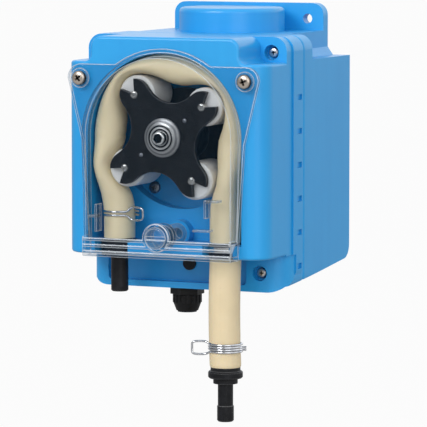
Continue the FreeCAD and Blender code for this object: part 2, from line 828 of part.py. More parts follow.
def make_cover():
    body = new_body("clear_cover")
    last = pad(body, front_sketch(body, "0", horseshoe("cover_half", below("cover_down"))), "cover_plate")
    ear_top = "(ear_screw_height + cover_ear_round - rotor_drop)"
    ear_side = "(ear_screw_side + cover_ear_round)"
    ears = [
        ("-cover_half", below("ear_taper_down")), ("cover_half", below("ear_taper_down")),
        (ear_side, "ear_screw_height - rotor_drop", "cover_ear_round", 1), ("ear_screw_side", ear_top),
        ("-ear_screw_side", ear_top, "cover_ear_round", 1), (f"-{ear_side}", "ear_screw_height - rotor_drop"),
    ]
    last = pad(body, front_sketch(body, "0", ears), "cover_plate")
    dome = front_sketch(body, "-cover_plate", horseshoe("dome_half", below("box_top + 1")))
    last = pad(body, dome, "cover_front - cover_plate")
    last.setExpression("TaperAngle", bound("-dome_draft"))
    bottom_box = rounded("(-cover_half)", "cover_half", below("cover_down"), below("box_top"), "box_round")
    last = pad(body, front_sketch(body, "-cover_plate", bottom_box), "cover_front - cover_plate")
    last = dress(body, "Fillet", last, edges(last, lambda edge, mid: (
        near(mid.y, "-body_depth - cover_front") and mid.z > number(below("box_top")) + 1)), "dome_round")
    hollow = horseshoe("(dome_half - cover_wall)", below("box_top + cover_wall + cover_web_up"))
    last = pocket(body, front_sketch(body, "0", hollow), "cover_front - cover_wall", True)
    last.setExpression("TaperAngle", bound("-dome_draft"))
    inner_box = box("(-cover_half + cover_wall)", "(cover_half - cover_wall)",
                    below("cover_down - cover_wall"), below("box_top + cover_wall - cover_web_down"))
    last = pocket(body, front_sketch(body, "0", inner_box), "cover_front - cover_wall", True)
    rib_low = below("cover_down - cover_rib_rise")
    rib_side = "(cover_half - cover_rib_inset)"
    rib_outline = box(f"-{rib_side}", rib_side, rib_low, f"{rib_low} + cover_rib_tall")
    rib = front_sketch(body, "-cover_front", rib_outline)
    first = pad(body, rib, "cover_rib_proud")
    ribs = body.newObject("PartDesign::LinearPattern", "clear_cover_ribs")
    ribs.Originals = [first]
    ribs.Direction = (rib, ["V_Axis"])
    ribs.setExpression("Length", bound("cover_rib_pitch * (cover_rib_count - 1)"))
    ribs.setExpression("Occurrences", bound("cover_rib_count"))
    body.Tip = ribs
    doc.recompute()

    # a short sleeve guides the knob, and the ears take the screws
    sleeve = front_sketch(body, "-cover_front - cover_rib_proud",
                          ("circle", "0", below("knob_drop"), "knob_dia / 2 + knob_wall"))
    last = pad(body, sleeve, "cover_front + cover_rib_proud - part_gap", True)
    bore = front_sketch(body, "-cover_front - cover_rib_proud - 1",
                        ("circle", "0", below("knob_drop"), "knob_dia / 2 + fit_play"))
    last = pocket(body, bore, "cover_front + cover_rib_proud + 2")
    holes = [("circle", f"{sign}ear_screw_side", "ear_screw_height - rotor_drop", "cover_hole_dia / 2")
             for sign in ("", "-")]
    last = pocket(body, front_sketch(body, "-cover_plate", *holes), "cover_plate")
    return body


def make_cover_screws():
    for word, sign in (("left", "-"), ("right", "")):
        height = "ear_screw_height - rotor_drop"
        ring = tube_profile("cover_hole_dia / 2", "washer_dia / 2", "0", "washer_thick")
        turned(f"cover_washer_{word}", ring, f"{sign}ear_screw_side",
               behind("-cover_plate - washer_thick"), height, TO_BACK)
        profile = screw_profile("cover_screw_dia", "cover_head_dia", "cover_head_thick",
                                "cover_screw_long + cover_plate + washer_thick", "cover_head_crown", True)
        turned(f"cover_screw_{word}", profile, f"{sign}ear_screw_side",
               behind("-cover_plate - washer_thick"), height, TO_BACK)


def make_knob():
    """The quarter-turn knob, upright with its front at Z = 0."""
    body = new_body("cover_knob")
    length = "(knob_proud + cover_front + cover_rib_proud + knob_back)"
    turn(body, new_sketch(body, "XZ_Plane", "0", [[
        ("0", "0"), ("knob_dia / 2 - knob_edge", "0"), ("knob_dia / 2", "knob_edge"),
        ("knob_dia / 2", length),
        ("knob_tip_dia / 2", length), ("knob_tip_dia / 2", f"{length} + knob_tip_long"),
        ("0", f"{length} + knob_tip_long"),
    ]]))
    slot = plan_sketch(body, "0", box("-knob_dia", "knob_dia", "-knob_slot_wide / 2", "knob_slot_wide / 2"))
    pocket(body, slot, "knob_slot_deep", True)
    place(body, "0", f"{FRONT} - knob_proud - cover_front - cover_rib_proud", below("knob_drop"), TO_BACK)
    return body


# Rotor

FRONT_PLATE = "(roller_front - part_gap - spider_thick)"
REAR_PLATE = "(roller_front + roller_long + part_gap)"


def make_spider(label, depth, thick, hub_reach):
    """A plate with four round lobes, each with a mouth that opens outward from its pin."""
    body = new_body(label)
    flip = hub_reach == "0"
    middle = "hub_dia / 2" if flip else "centre_dia / 2"
    pad(body, front_sketch(body, depth, ("circle", "0", ROTOR, middle)), thick, True)
    arm = new_sketch(body, "XZ_Plane", f"body_depth - ({depth})", [[
        ("0", f"{ROTOR} - lobe_round"), ("pin_circle", f"{ROTOR} - lobe_round", "lobe_round", 1),
        ("pin_circle + lobe_round", ROTOR, "lobe_round", 1), ("pin_circle", f"{ROTOR} + lobe_round"),
        ("0", f"{ROTOR} + lobe_round"),
    ]])
    turn_pattern(body, label, pad(body, arm, thick, True))
    web = front_sketch(body, depth, [
        ("0", ROTOR), ("lobe_round", f"{ROTOR} + web_reach", "web_round", 1),
        ("web_reach", f"{ROTOR} + lobe_round"),
    ])
    turn_pattern(body, label, pad(body, web, thick, True))
    hole = ("circle", "pin_circle", ROTOR, "pin_dia / 2")
    pin_hole = pocket(body, front_sketch(body, depth, hole), thick)
    turn_pattern(body, label, pin_hole)
    mouth = front_sketch(body, depth, [
        ("pin_circle", ROTOR), ("pin_circle + 2 * lobe_round", f"{ROTOR} - lobe_mouth"),
        ("pin_circle + 2 * lobe_round", f"{ROTOR} + lobe_mouth"),
    ])
    turn_pattern(body, label, pocket(body, mouth, thick))
    if not flip:
        hub = front_sketch(body, depth, ("circle", "0", ROTOR, "hub_dia / 2"))
        pad(body, hub, hub_reach)
    bore = front_sketch(body, f"{depth} - 20", ("circle", "0", ROTOR, "shaft_dia / 2"))
    pocket(body, bore, "40")
    turn_body(body)
    return body


def turn_pattern(body, label, feature):
    """Four copies about the rotor axis."""
    ring = body.newObject("PartDesign::PolarPattern", f"{label}_ring")
    ring.Originals = [feature]
    ring.Axis = (axis_sketch(body), ["N_Axis"])
    ring.Angle = 360
    ring.Occurrences = 4
    body.Tip = ring
    doc.recompute()


def axis_sketch(body):
    """The body's sketch whose normal is the rotor axis."""
    for item in body.Group:
        if item.Name.startswith(f"{body.Name}_axis"):
            return item
    sketch = body.newObject("Sketcher::SketchObject", f"{body.Name}_axis")
    plane = [item for item in body.Origin.OriginFeatures if item.Role == "XZ_Plane"][0]
    sketch.AttachmentSupport = [(plane, "")]
    sketch.MapMode = "FlatFace"
    sketch.setExpression(".AttachmentOffset.Base.y", bound(ROTOR))
    doc.recompute()
    return sketch


def turn_body(body):
    """Turns a body of the rotor to its resting angle about the rotor axis."""
    angle = -number("rotor_phase")
    turned_by = FreeCAD.Rotation(V(0, 1, 0), angle)
    centre = V(0, 0, number(ROTOR))
    body.Placement = FreeCAD.Placement(centre - turned_by.multVec(centre), turned_by)


def arm_place(count):
    """Where pin number count lies, as expressions."""
    angle = f"(rotor_phase + {90 * count}) * 1deg"
    return f"pin_circle * cos({angle})", f"{ROTOR} + pin_circle * sin({angle})"


def make_rotor():
    shaft_end = "(pit_back + chamber_floor + shaft_in_gearbox)"
    turned("rotor_shaft", [
        ("rotor_screw_dia / 2", "0"), ("shaft_dia / 2 - shaft_edge", "0"), ("shaft_dia / 2", "shaft_edge"),
        ("shaft_dia / 2", f"{shaft_end} - {FRONT_PLATE} - shaft_edge"),
        ("shaft_dia / 2 - shaft_edge", f"{shaft_end} - {FRONT_PLATE}"), ("0", f"{shaft_end} - {FRONT_PLATE}"),
        ("0", "rotor_screw_deep + 2 * shaft_edge"), ("rotor_screw_dia / 2", "rotor_screw_deep + shaft_edge"),
    ], "0", behind(FRONT_PLATE), ROTOR, TO_BACK)
    make_spider("front_spider", FRONT_PLATE, "spider_thick", "0")
    make_spider("rear_spider", REAR_PLATE, "rear_spider_thick",
                f"{REAR_PLATE} - {FRONT_PLATE} - spider_thick")
    turned("rotor_cone", [
        ("rotor_screw_dia / 2", "0"), ("cone_small_dia / 2", "0"), ("cone_dia / 2", "cone_thick - cone_edge"),
        ("cone_dia / 2", "cone_thick"), ("rotor_screw_dia / 2", "cone_thick"),
    ], "0", behind(f"{FRONT_PLATE} - cone_thick"), ROTOR, TO_BACK)
    turned("rotor_screw", [
        ("0", "rotor_key_deep - rotor_head_thick"),
        ("rotor_key_dia / 2", "rotor_key_deep - rotor_head_thick"), ("rotor_key_dia / 2", "-rotor_head_thick"),
        ("rotor_head_dia / 2 - rotor_head_edge", "-rotor_head_thick"),
        ("rotor_head_dia / 2", "rotor_head_edge - rotor_head_thick"), ("rotor_head_dia / 2", "0"),
        ("rotor_screw_dia / 2", "0"), ("rotor_screw_dia / 2", "cone_thick + rotor_screw_deep"),
        ("0", "cone_thick + rotor_screw_deep"),
    ], "0", behind(f"{FRONT_PLATE} - cone_thick"), ROTOR, TO_BACK)
    for count in range(4):
        across, up = arm_place(count)
        reach = f"{REAR_PLATE} + rear_spider_thick - {FRONT_PLATE} + pin_proud"
        cylinder(f"roller_pin_{count + 1}", "pin_dia / 2", reach, across,
                 behind(f"{FRONT_PLATE} - pin_proud"), up, TO_BACK)
        turned(f"roller_{count + 1}", [
            ("pin_dia / 2 + fit_play", "0"), ("roller_dia / 2 - roller_edge", "0"),
            ("roller_dia / 2", "roller_edge"), ("roller_dia / 2", "roller_long - roller_edge"),
            ("roller_dia / 2 - roller_edge", "roller_long"), ("pin_dia / 2 + fit_play", "roller_long"),
        ], across, behind("roller_front"), up, TO_BACK)


# Gearmotor and circuit board

def make_gearmotor():
    body = new_body("gearbox_case")
    start = "(pit_back + chamber_floor)"
    outline = rounded("(-gearbox_width / 2)", "(gearbox_width / 2)", below("gearbox_down"),
                      f"({ROTOR} + gearbox_up)", "gearbox_round")
    last = pad(body, front_sketch(body, start, outline), "gearbox_long", True)
    bore = front_sketch(body, start, ("circle", "0", ROTOR, "shaft_dia / 2 + fit_play"))
    last = pocket(body, bore, "shaft_in_gearbox + 1")
    holes = [("circle", f"{sign}gearbox_screw_side", below("gearbox_screw_drop"), "gearbox_screw_dia / 2")
             for sign in ("", "-")]
    last = pocket(body, front_sketch(body, start, *holes), "gearbox_screw_long - chamber_floor")
    last = dress(body, "Chamfer", last, edges(last, lambda edge, mid: (
        near(mid.y, behind(f"{start} + gearbox_long")))), "gearbox_edge")
    turned("motor_can", [
        ("0", "0"), ("motor_dia / 2", "0"), ("motor_dia / 2", "motor_long - motor_edge"),
        ("motor_dia / 2 - motor_edge", "motor_long"), ("motor_nose_dia / 2", "motor_long"),
        ("motor_nose_dia / 2", "motor_long + motor_nose_long"), ("0", "motor_long + motor_nose_long"),
    ], "0", behind(f"{start} + gearbox_long"), below("motor_drop"), TO_BACK)
    for word, sign in (("left", "-"), ("right", "")):
        profile = screw_profile("gearbox_screw_dia", "gearbox_head_dia", "gearbox_head_thick",
                                "gearbox_screw_long", "gearbox_head_edge")
        turned(f"gearbox_screw_{word}", profile, f"{sign}gearbox_screw_side",
               behind("pit_back"), below("gearbox_screw_drop"), TO_BACK)
    turned("shaft_seal", tube_profile("shaft_dia / 2 + fit_play", "seal_dia / 2", "0", "chamber_floor"),
           "0", behind("pit_back"), ROTOR, TO_BACK)


def plain_box(label, width, depth, tall, across, back, up):
    item = doc.addObject("Part::Box", label)
    item.Label = label
    item.setExpression("Length", bound(width))
    item.setExpression("Width", bound(depth))
    item.setExpression("Height", bound(tall))
    place(item, across, back, up)
    return item


def make_board():
    up = below("cavity_down - peg_tall")
    plain_box("circuit_board", "board_width", "board_depth", "board_thick",
              "-board_width / 2", behind("board_back"), up)
    block = plain_box("terminal_body", "terminal_width", "terminal_depth", "terminal_tall",
                      "-terminal_side - terminal_width / 2", behind("board_back + terminal_back"),
                      f"{up} + board_thick")
    ways = doc.addObject("Part::Compound", "terminal_ways")
    ways.Links = [
        cylinder(f"terminal_way_{count}", "terminal_tall / 5", "terminal_tall / 2",
                 f"-terminal_side + terminal_width * {count - 1} / 3",
                 behind("board_back + terminal_back + terminal_depth / 2"),
                 f"{up} + board_thick + terminal_tall * 0.7")
        for count in range(3)
    ]
    combine("Cut", "terminal_block", block, ways)


# Tube, hose and fittings

def smooth(share):
    """Rises from 0 to 1 with level ends."""
    share = min(max(share, 0.0), 1.0)
    return share * share * (3 - 2 * share)


def bump(share):
    """1 in the middle, falling to 0 at a share of 1 either way."""
    return math.cos(min(abs(share), 1.0) * math.pi / 2) ** 2


def tube_sections():
    """Centre, outward direction and radial thickness along the tube, from left end to right end.

    The outside lies on the track, and the thickness is what the nearest roller leaves of it.
    """
    full = number("tube_dia")
    reach = number("track_radius - tube_play")
    inward = reach - full / 2 - number("leg_side")
    phase = number("rotor_phase")
    quarter = 90
    circle = number("pin_circle")
    roller = number("roller_dia / 2 + tube_gap")
    end = -number("tube_end")
    drops = [end * share / 14 for share in range(14, 0, -1)]
    sections = []

    def leg(side, height, bend_start, bend_long, press, roller_angle):
        """One section of a leg that bends inward below the axis and is pressed by one roller."""
        roller_x = circle * abs(math.cos(math.radians(roller_angle)))
        off = height - circle * math.sin(math.radians(roller_angle))
        outer = reach - inward * smooth((-height - bend_start) / bend_long)
        thick = full - press * bump(off / (number("press_reach") * roller))
        if abs(off) < roller:
            thick = min(thick, outer - roller_x - math.sqrt(roller ** 2 - off ** 2))
        return (side * (outer - thick / 2), height, V(side, 0, 0), thick)

    for height in drops:
        sections.append(leg(-1, height, number("left_bend_drop"), number("left_bend_long"),
                            number("left_press"), phase + 180))
    steps = 28
    for step in range(steps + 1):
        angle = 180 - 180 * step / steps
        off = (angle - phase + quarter / 2) % quarter - quarter / 2
        thick = full - (full - number("squeezed")) * (1 - smooth(abs(off) / number("press_angle")))
        across = circle * math.sin(math.radians(off))
        if abs(across) < roller:
            surface = circle * math.cos(math.radians(off)) + math.sqrt(roller ** 2 - across ** 2)
            thick = min(thick, reach - surface)
        outward = V(math.cos(math.radians(angle)), 0, math.sin(math.radians(angle)))
        centre = outward * (reach - thick / 2)
        sections.append((centre.x, centre.z, outward, thick))
    for height in reversed(drops):
        sections.append(leg(1, height, 0, number("right_bend_long"), number("right_press"), phase - 90))
    return sections


def make_pump_tube():
    """The pumping tube round the track, pressed flat at the rollers and blind at its bores."""
    radius = number("tube_dia / 2")
    ovals = []
    for across, height, outward, thick in tube_sections():
        half = min(thick / 2, radius - 0.01)
        wide = math.sqrt(2 * radius ** 2 - half ** 2)
        centre = V(across, number(TUBE_Y), height + number(ROTOR))
        ovals.append(Part.Ellipse(centre + V(0, wide, 0), centre + outward * half, centre).toShape())
    walls = [Part.makeRuledSurface(here, after) for here, after in zip(ovals, ovals[1:])]
    ends = [Part.Face(Part.Wire([ovals[0]])), Part.Face(Part.Wire([ovals[-1]]))]
    solid = Part.makeSolid(Part.makeShell(walls + ends))
    for sign in (-1, 1):
        foot = V(sign * number("leg_side"), number(TUBE_Y), number(below("tube_end")))
        solid = solid.cut(Part.makeCylinder(number("tube_bore / 2"), number("barb_long"), foot, V(0, 0, 1)))
    tube = doc.addObject("Part::Feature", "pump_tube")
    tube.Label = "pump_tube"
    tube.Shape = solid
    return tube


def hexagon(flats):
    """A hexagon about the sketch's origin, with its flats facing across."""
    half = f"({flats}) / 2"
    corner = f"({flats}) / sqrt(3)"
    return [
        ("0", f"-{corner}"), (half, f"-{corner} / 2"), (half, f"{corner} / 2"),
        ("0", corner), (f"-{half}", f"{corner} / 2"), (f"-{half}", f"-{corner} / 2"),
    ]


def bore_through(body, low, radius, length):
    """A hole up the body's own upright axis."""
    return pocket(body, plan_sketch(body, low, ("circle", "0", "0", radius)), length, True)


def make_outlet():
    body = new_body("outlet_fitting")
    up = "barb_long - barb_room + fitting_top - tube_end"
    low = "(-outlet_stem_down + fitting_top)"
    turn(body, new_sketch(body, "XZ_Plane", "0", [[
        ("0", low), ("outlet_stem_dia / 2 - stem_edge", low),
        ("outlet_stem_dia / 2", f"{low} + stem_edge"), ("outlet_stem_dia / 2", "-fitting_tall"),
        ("fitting_flats / 2", "-fitting_tall"), ("fitting_flats / 2", "0"), ("tube_bore / 2", "0"),
        ("tube_bore / 2", f"{up} - barb_point"), ("tube_bore / 2 - barb_point", up), ("0", up),
    ]]))
    bore_through(body, f"{low} - 1", "flow_bore / 2",
                 "outlet_stem_down + barb_long + 5")
    place(body, "-leg_side", TUBE_Y, below("fitting_top"))
    return body


def make_inlet():
    body = new_body("inlet_connector")
    up = "barb_long - barb_room + connector_top - tube_end"
    down = "(-connector_tall - barb_long)"
    groove = "(connector_dia / 2 - ring_thick)"
    turn(body, new_sketch(body, "XZ_Plane", "0", [[
        ("0", down), ("tube_bore / 2 - barb_point", down), ("tube_bore / 2", f"{down} + barb_point"),
        ("tube_bore / 2", "-connector_tall"), ("connector_dia / 2", "-connector_tall"),
        ("connector_dia / 2", "-ring_drop - ring_tall"), (groove, "-ring_drop - ring_tall"),
        (groove, "-ring_drop"), ("connector_dia / 2", "-ring_drop"), ("connector_dia / 2", "0"),
        ("tube_bore / 2", "0"), ("tube_bore / 2", f"{up} - barb_point"),
        ("tube_bore / 2 - barb_point", up), ("0", up),
    ]]))
    bore_through(body, f"{down} - 1", "flow_bore / 2", "connector_tall + 2 * barb_long + 5")
    place(body, "leg_side", TUBE_Y, below("connector_top"))
    turned("inlet_ring", tube_profile(groove, "connector_dia / 2", "0", "ring_tall"),
           "leg_side", TUBE_Y, below("connector_top + ring_drop + ring_tall"))
    hose_top = "(connector_top + connector_tall)"
    turned("inlet_hose", tube_profile("tube_bore / 2", "tube_dia / 2", "-hose_long", "0"),
           "leg_side", TUBE_Y, below(hose_top))
    flange = "(lower_neck_tall + lower_flange_tall)"
    collar = f"({flange} + lower_collar_tall)"
    foot = f"({collar} + lower_stem_long)"
    fitting = new_body("inlet_fitting")
    turn(fitting, new_sketch(fitting, "XZ_Plane", "0", [[
        ("0", f"-{foot}"), ("lower_sleeve_dia / 2 - stem_edge", f"-{foot}"),
        ("lower_sleeve_dia / 2", f"-{foot} + stem_edge"),
        ("lower_sleeve_dia / 2", f"-{foot} + lower_sleeve_long"),
        ("lower_stem_dia / 2", f"-{foot} + lower_sleeve_long"), ("lower_stem_dia / 2", f"-{collar}"),
        ("lower_collar_dia / 2", f"-{collar}"), ("lower_collar_dia / 2", f"-{flange}"),
        ("lower_flange_dia / 2 - stem_edge", f"-{flange}"),
        ("lower_flange_dia / 2", f"-{flange} + stem_edge"),
        ("lower_flange_dia / 2", "-lower_neck_tall - stem_edge"),
        ("lower_flange_dia / 2 - stem_edge", "-lower_neck_tall"), ("lower_neck_dia / 2", "-lower_neck_tall"),
        ("lower_neck_dia / 2", "0"), ("tube_bore / 2", "0"), ("tube_bore / 2", "barb_long - barb_point"),
        ("tube_bore / 2 - barb_point", "barb_long"), ("0", "barb_long"),
    ]]))
    bore_through(fitting, f"-{foot} - 1", "flow_bore / 2", f"{foot} + barb_long + 2")
    place(fitting, "leg_side", TUBE_Y, below(f"{hose_top} + hose_long"))


WIRE_FLATS = 8
TAIL_LEAN = 18


def wire_bar(label, thick, length, across, back, up, rotation=None):
    """A straight run of clamp wire, with flats in place of a round section."""
    bar = doc.addObject("Part::Prism", label)
    bar.Polygon = WIRE_FLATS
    bar.setExpression("Circumradius", bound(f"{thick} / 2"))
    bar.setExpression("Height", bound(length))
    place(bar, across, back, up, rotation)
    return bar


def wire_ring(label, side, up):
    """A ring of clamp wire round the tube, with flats in place of a round section."""
    middle = "(tube_dia / 2 + clamp_wire / 2)"
    flats = []
    for corner in range(WIRE_FLATS):
        angle = math.tau * (corner + 0.5) / WIRE_FLATS
        flats.append((f"{middle} + clamp_wire / 2 * {math.cos(angle):.6f}",
                      f"clamp_wire / 2 * {math.sin(angle):.6f}"))
    return turned(label, flats, side, TUBE_Y, up)


def make_clamp(label, side, drop, tail_angle):
    """A double-wire spring clamp: two rings of wire joined by two bent tails."""
    middle = "(tube_dia / 2 + clamp_wire / 2)"
    offset = "(clamp_wire / 2 + clamp_gap / 2)"
    items = []
    for word, sign in (("upper", ""), ("lower", "-")):
        items.append(wire_ring(f"{label}_{word}_ring", side, f"{below(drop)} + {sign}{offset}"))
    for turn_word, lean in (("left", TAIL_LEAN), ("right", -TAIL_LEAN)):
        out = FreeCAD.Rotation(V(0, 0, 1), tail_angle + lean).multVec(V(1, 0, 0))
        along = FreeCAD.Rotation(V(0, 0, 1), out)
        for word, sign in (("upper", ""), ("lower", "-")):
            items.append(wire_bar(f"{label}_{word}_{turn_word}_tail", "tail_wire", "clamp_tail",
                                  f"{side} + {middle} * {out.x:.6f}", f"{TUBE_Y} + {middle} * {out.y:.6f}",
                                  f"{below(drop)} + {sign}{offset}", along))
        reach = f"({middle} + clamp_tail - clamp_wire)"
        items.append(wire_bar(f"{label}_{turn_word}_bridge", "bridge_wire", f"2 * {offset}",
                              f"{side} + {reach} * {out.x:.6f}", f"{TUBE_Y} + {reach} * {out.y:.6f}",
                              f"{below(drop)} - {offset}"))
    clamp = doc.addObject("Part::MultiFuse", label)
    clamp.Label = label
    clamp.Shapes = items
    return clamp


# Cable gland and base plug

def make_gland():
    seat = BASE_BOTTOM
    across, back = "-gland_side", behind("gland_back")
    through = "(base_depth_down - cavity_down)"
    body = new_body("gland_body")
    pad(body, plan_sketch(body, "0", hexagon("gland_hex")), "gland_hex_tall", True)
    thread = plan_sketch(body, "0", ("circle", "0", "0", "gland_thread_dia / 2"))
    pad(body, thread, f"{through} + locknut_tall + 1")
    bore_through(body, "-gland_hex_tall - 1", "gland_cable_dia / 2 + gland_room",
                 f"{through} + locknut_tall + gland_hex_tall + 3")
    place(body, across, back, seat)
    mouth = "(gland_mouth_dia / 2 - gland_seal_room)"
    turned("gland_nut", [
        (mouth, "-gland_nut_tall"), (f"{mouth} + gland_nut_edge", "-gland_nut_tall"),
        ("gland_nut_dia / 2", "-gland_nut_straight"), ("gland_nut_dia / 2", "0"), (mouth, "0"),
    ], across, back, f"{seat} - gland_hex_tall")
    turned("gland_seal", tube_profile("gland_cable_dia / 2", mouth, "-gland_nut_tall - gland_lip", "0"),
           across, back, f"{seat} - gland_hex_tall")
    nut = new_body("gland_locknut")
    ring = plan_sketch(nut, "0", hexagon("locknut_flats"), ("circle", "0", "0", "gland_thread_dia / 2"))
    pad(nut, ring, "locknut_tall")
    place(nut, across, back, below("cavity_down"))
    turned("base_plug", [
        ("0", "-plug_proud"), ("plug_dia / 2 - plug_head_out", "-plug_proud"),
        ("plug_dia / 2 + plug_head_out", "plug_head_out - plug_proud"), ("plug_dia / 2 + plug_head_out", "0"),
        ("plug_dia / 2", "0"), ("plug_dia / 2", "plug_deep"), ("0", "plug_deep"),
    ], "0", behind("setback + recess_deep"), below("plug_drop"), TO_BACK)


make_front_casing()
make_rear_casing()
make_gasket()
make_casing_screws()
make_cover()
make_cover_screws()
make_knob()
make_rotor()
make_gearmotor()
make_board()
make_pump_tube()
make_outlet()
make_inlet()
make_clamp("outlet_clamp", "-leg_side", "outlet_clamp_drop", 20)
make_clamp("inlet_clamp", "leg_side", "inlet_clamp_drop", 200)
make_gland()
doc.recompute()

# Checks, then one file for each sub-part

SUB_PARTS = (
    ["front_casing", "rear_casing", "casing_gasket"]
    + [f"casing_screw_{count}" for count in range(1, 5)]
    + ["clear_cover", "cover_screw_left", "cover_screw_right", "cover_washer_left", "cover_washer_right"]
    + ["cover_knob", "rotor_shaft", "front_spider", "rear_spider", "rotor_cone", "rotor_screw"]
    + [f"roller_pin_{count}" for count in range(1, 5)]
    + [f"roller_{count}" for count in range(1, 5)]
    + ["gearbox_case", "motor_can", "gearbox_screw_left", "gearbox_screw_right", "shaft_seal"]
    + ["circuit_board", "terminal_block", "pump_tube", "outlet_fitting", "outlet_clamp"]
    + ["inlet_connector", "inlet_ring", "inlet_hose", "inlet_clamp", "inlet_fitting"]
    + ["gland_body", "gland_nut", "gland_seal", "gland_locknut", "base_plug"]
)

for item in doc.Objects:
    if "Invalid" in item.State or "Error" in item.State:
        raise RuntimeError(f"{item.Name} did not build: {item.State}")

for name in SUB_PARTS:
    found = doc.getObjectsByLabel(name)
    if len(found) != 1:
        raise RuntimeError(f"{name}: {len(found)} objects have this label")
    shape = found[0].Shape
    if shape.isNull() or not shape.isValid() or not shape.Solids:
        raise RuntimeError(f"{name} has no valid solid")
    if len(shape.Solids) != 1:
        raise RuntimeError(f"{name} is {len(shape.Solids)} solids")

for name in SUB_PARTS:
    doc.getObjectsByLabel(name)[0].Shape.exportStep(f"parts/{name}.step")
print(f"{len(SUB_PARTS)} sub-parts written")
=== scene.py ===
"""Looks of a wall-mounted peristaltic dosing pump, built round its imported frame."""
import math

import bmesh
import bpy
from mathutils import Matrix, Vector


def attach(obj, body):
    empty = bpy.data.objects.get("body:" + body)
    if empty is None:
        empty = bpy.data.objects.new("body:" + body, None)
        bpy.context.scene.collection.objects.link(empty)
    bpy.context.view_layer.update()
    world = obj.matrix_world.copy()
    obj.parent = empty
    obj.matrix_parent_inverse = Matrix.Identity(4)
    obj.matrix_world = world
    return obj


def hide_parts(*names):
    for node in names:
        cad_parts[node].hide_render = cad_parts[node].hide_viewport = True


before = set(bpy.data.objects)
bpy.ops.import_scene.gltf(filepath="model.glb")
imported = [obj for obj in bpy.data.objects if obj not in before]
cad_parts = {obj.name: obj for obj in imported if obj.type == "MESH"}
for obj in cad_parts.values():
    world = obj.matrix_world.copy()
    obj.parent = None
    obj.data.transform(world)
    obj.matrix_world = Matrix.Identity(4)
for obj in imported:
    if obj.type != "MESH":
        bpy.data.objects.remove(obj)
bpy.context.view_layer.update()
scene = bpy.context.scene
scene.view_settings.view_transform = "Standard"

MM = 0.001

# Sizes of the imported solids, in millimetres and degrees: X across, Y into the wall, Z up
ROTOR_Z = -46
ROTOR_PHASE = 36.7
PLATE_FRONT = -93
PIN_CIRCLE = 21.6
ROLLER_RADIUS = 8.1
TRACK_RADIUS = 34.5
TUBE_Y = -83.8
TUBE_DIA = 13
TUBE_RADIUS = TUBE_DIA / 2
BORE_SHARE = 0.632
LEG_X = 24
COVER_BACK = -92
COVER_SCREWS = [(-37, -22.2), (37, -22.2)]
INLET_CLAMP_Z = -132
GLAND_PLACE = (-4, -60, 0)


# Node graphs

class Value:
    """A node's output that takes part in Python sums."""

    def __init__(self, graph, socket):
        self.graph = graph
        self.socket = socket

    def sum_of(self, operation, first, second):
        return self.graph.sum_of(operation, first, second)

    def __add__(self, other):
        return self.sum_of("ADD", self, other)

    def __radd__(self, other):
        return self.sum_of("ADD", other, self)

    def __sub__(self, other):
        return self.sum_of("SUBTRACT", self, other)

    def __rsub__(self, other):
        return self.sum_of("SUBTRACT", other, self)

    def __mul__(self, other):
        return self.sum_of("MULTIPLY", self, other)

    def __pow__(self, other):
        return self.sum_of("POWER", self, other)


class Graph:
    """A node tree that is filled one node at a time."""

    def __init__(self, tree):
        self.tree = tree

    def sum_of(self, operation, first, second):
        return self.node("ShaderNodeMath", {"operation": operation}, {0: first, 1: second})

    def node(self, kind, settings=None, inputs=None, output=0):
        """Adds a node, sets it up, feeds its sockets and returns one of its outputs."""
        made = self.tree.nodes.new(kind)
        for word, value in (settings or {}).items():
            setattr(made, word, value)
        for word, value in (inputs or {}).items():
            if isinstance(value, Value):
                self.tree.links.new(value.socket, made.inputs[word])
            else:
                made.inputs[word].default_value = value
        return Value(self, made.outputs[output]) if len(made.outputs) else None

    def ramp(self, value, low, high):
        """0 below low, 1 above high, and a straight rise between them."""
        return self.node("ShaderNodeMapRange", {"clamp": True},
                         {"Value": value, "From Min": low, "From Max": high})


class Finish(Graph):
    """A procedural material, measured in metres on the object's own coordinates."""

    def __init__(self, name):
        self.material = bpy.data.materials.new(name)
        self.material.use_nodes = True
        super().__init__(self.material.node_tree)
        self.tree.nodes.clear()
        self.place = self.node("ShaderNodeTexCoord", output="Object")

    def noise(self, scale, detail=2, stretch=(1, 1, 1)):
        """Cloudy values about 0.5, with features one over scale metres wide."""
        spot = self.node("ShaderNodeMapping", {}, {"Vector": self.place, "Scale": stretch})
        return self.node("ShaderNodeTexNoise", {}, {"Vector": spot, "Scale": scale, "Detail": detail})

    def blend(self, share, first, second):
        """A colour between two colours."""
        return self.node("ShaderNodeMix", {"data_type": "RGBA"}, {0: share, 6: first, 7: second}, 2)

    def bump(self, height, depth, strength, **sockets):
        """A normal that follows a height."""
        return self.node("ShaderNodeBump", {}, {
            "Height": height, "Distance": depth, "Strength": strength, **sockets})

    def edge(self, radius, low, high, flat=None):
        """0 on flat ground and 1 along edges, and the normal rounded over that radius."""
        flat = flat or self.node("ShaderNodeNewGeometry", output="True Normal")
        rounded = self.node("ShaderNodeBevel", {"samples": 8}, {"Radius": radius})
        level = self.node("ShaderNodeVectorMath", {"operation": "DOT_PRODUCT"},
                          {0: rounded, 1: flat}, "Value")
        return self.ramp(level, low, high), rounded

    def shader(self, **sockets):
        """A Principled shader, with its socket names written with underscores."""
        words = {word.replace("_", " "): value for word, value in sockets.items()}
        return self.node("ShaderNodeBsdfPrincipled", {}, words)

    def close(self, shader):
        """Ends the material with its shader."""
        self.node("ShaderNodeOutputMaterial", {}, {"Surface": shader})
        return self.material


def rgb(red, green, blue):
    """A linear colour from the values that a screen shows, 0 to 255."""
    levels = [level / 255 for level in (red, green, blue)]
    return (*[x / 12.92 if x <= 0.04045 else ((x + 0.055) / 1.055) ** 2.4 for x in levels], 1)


# Finishes

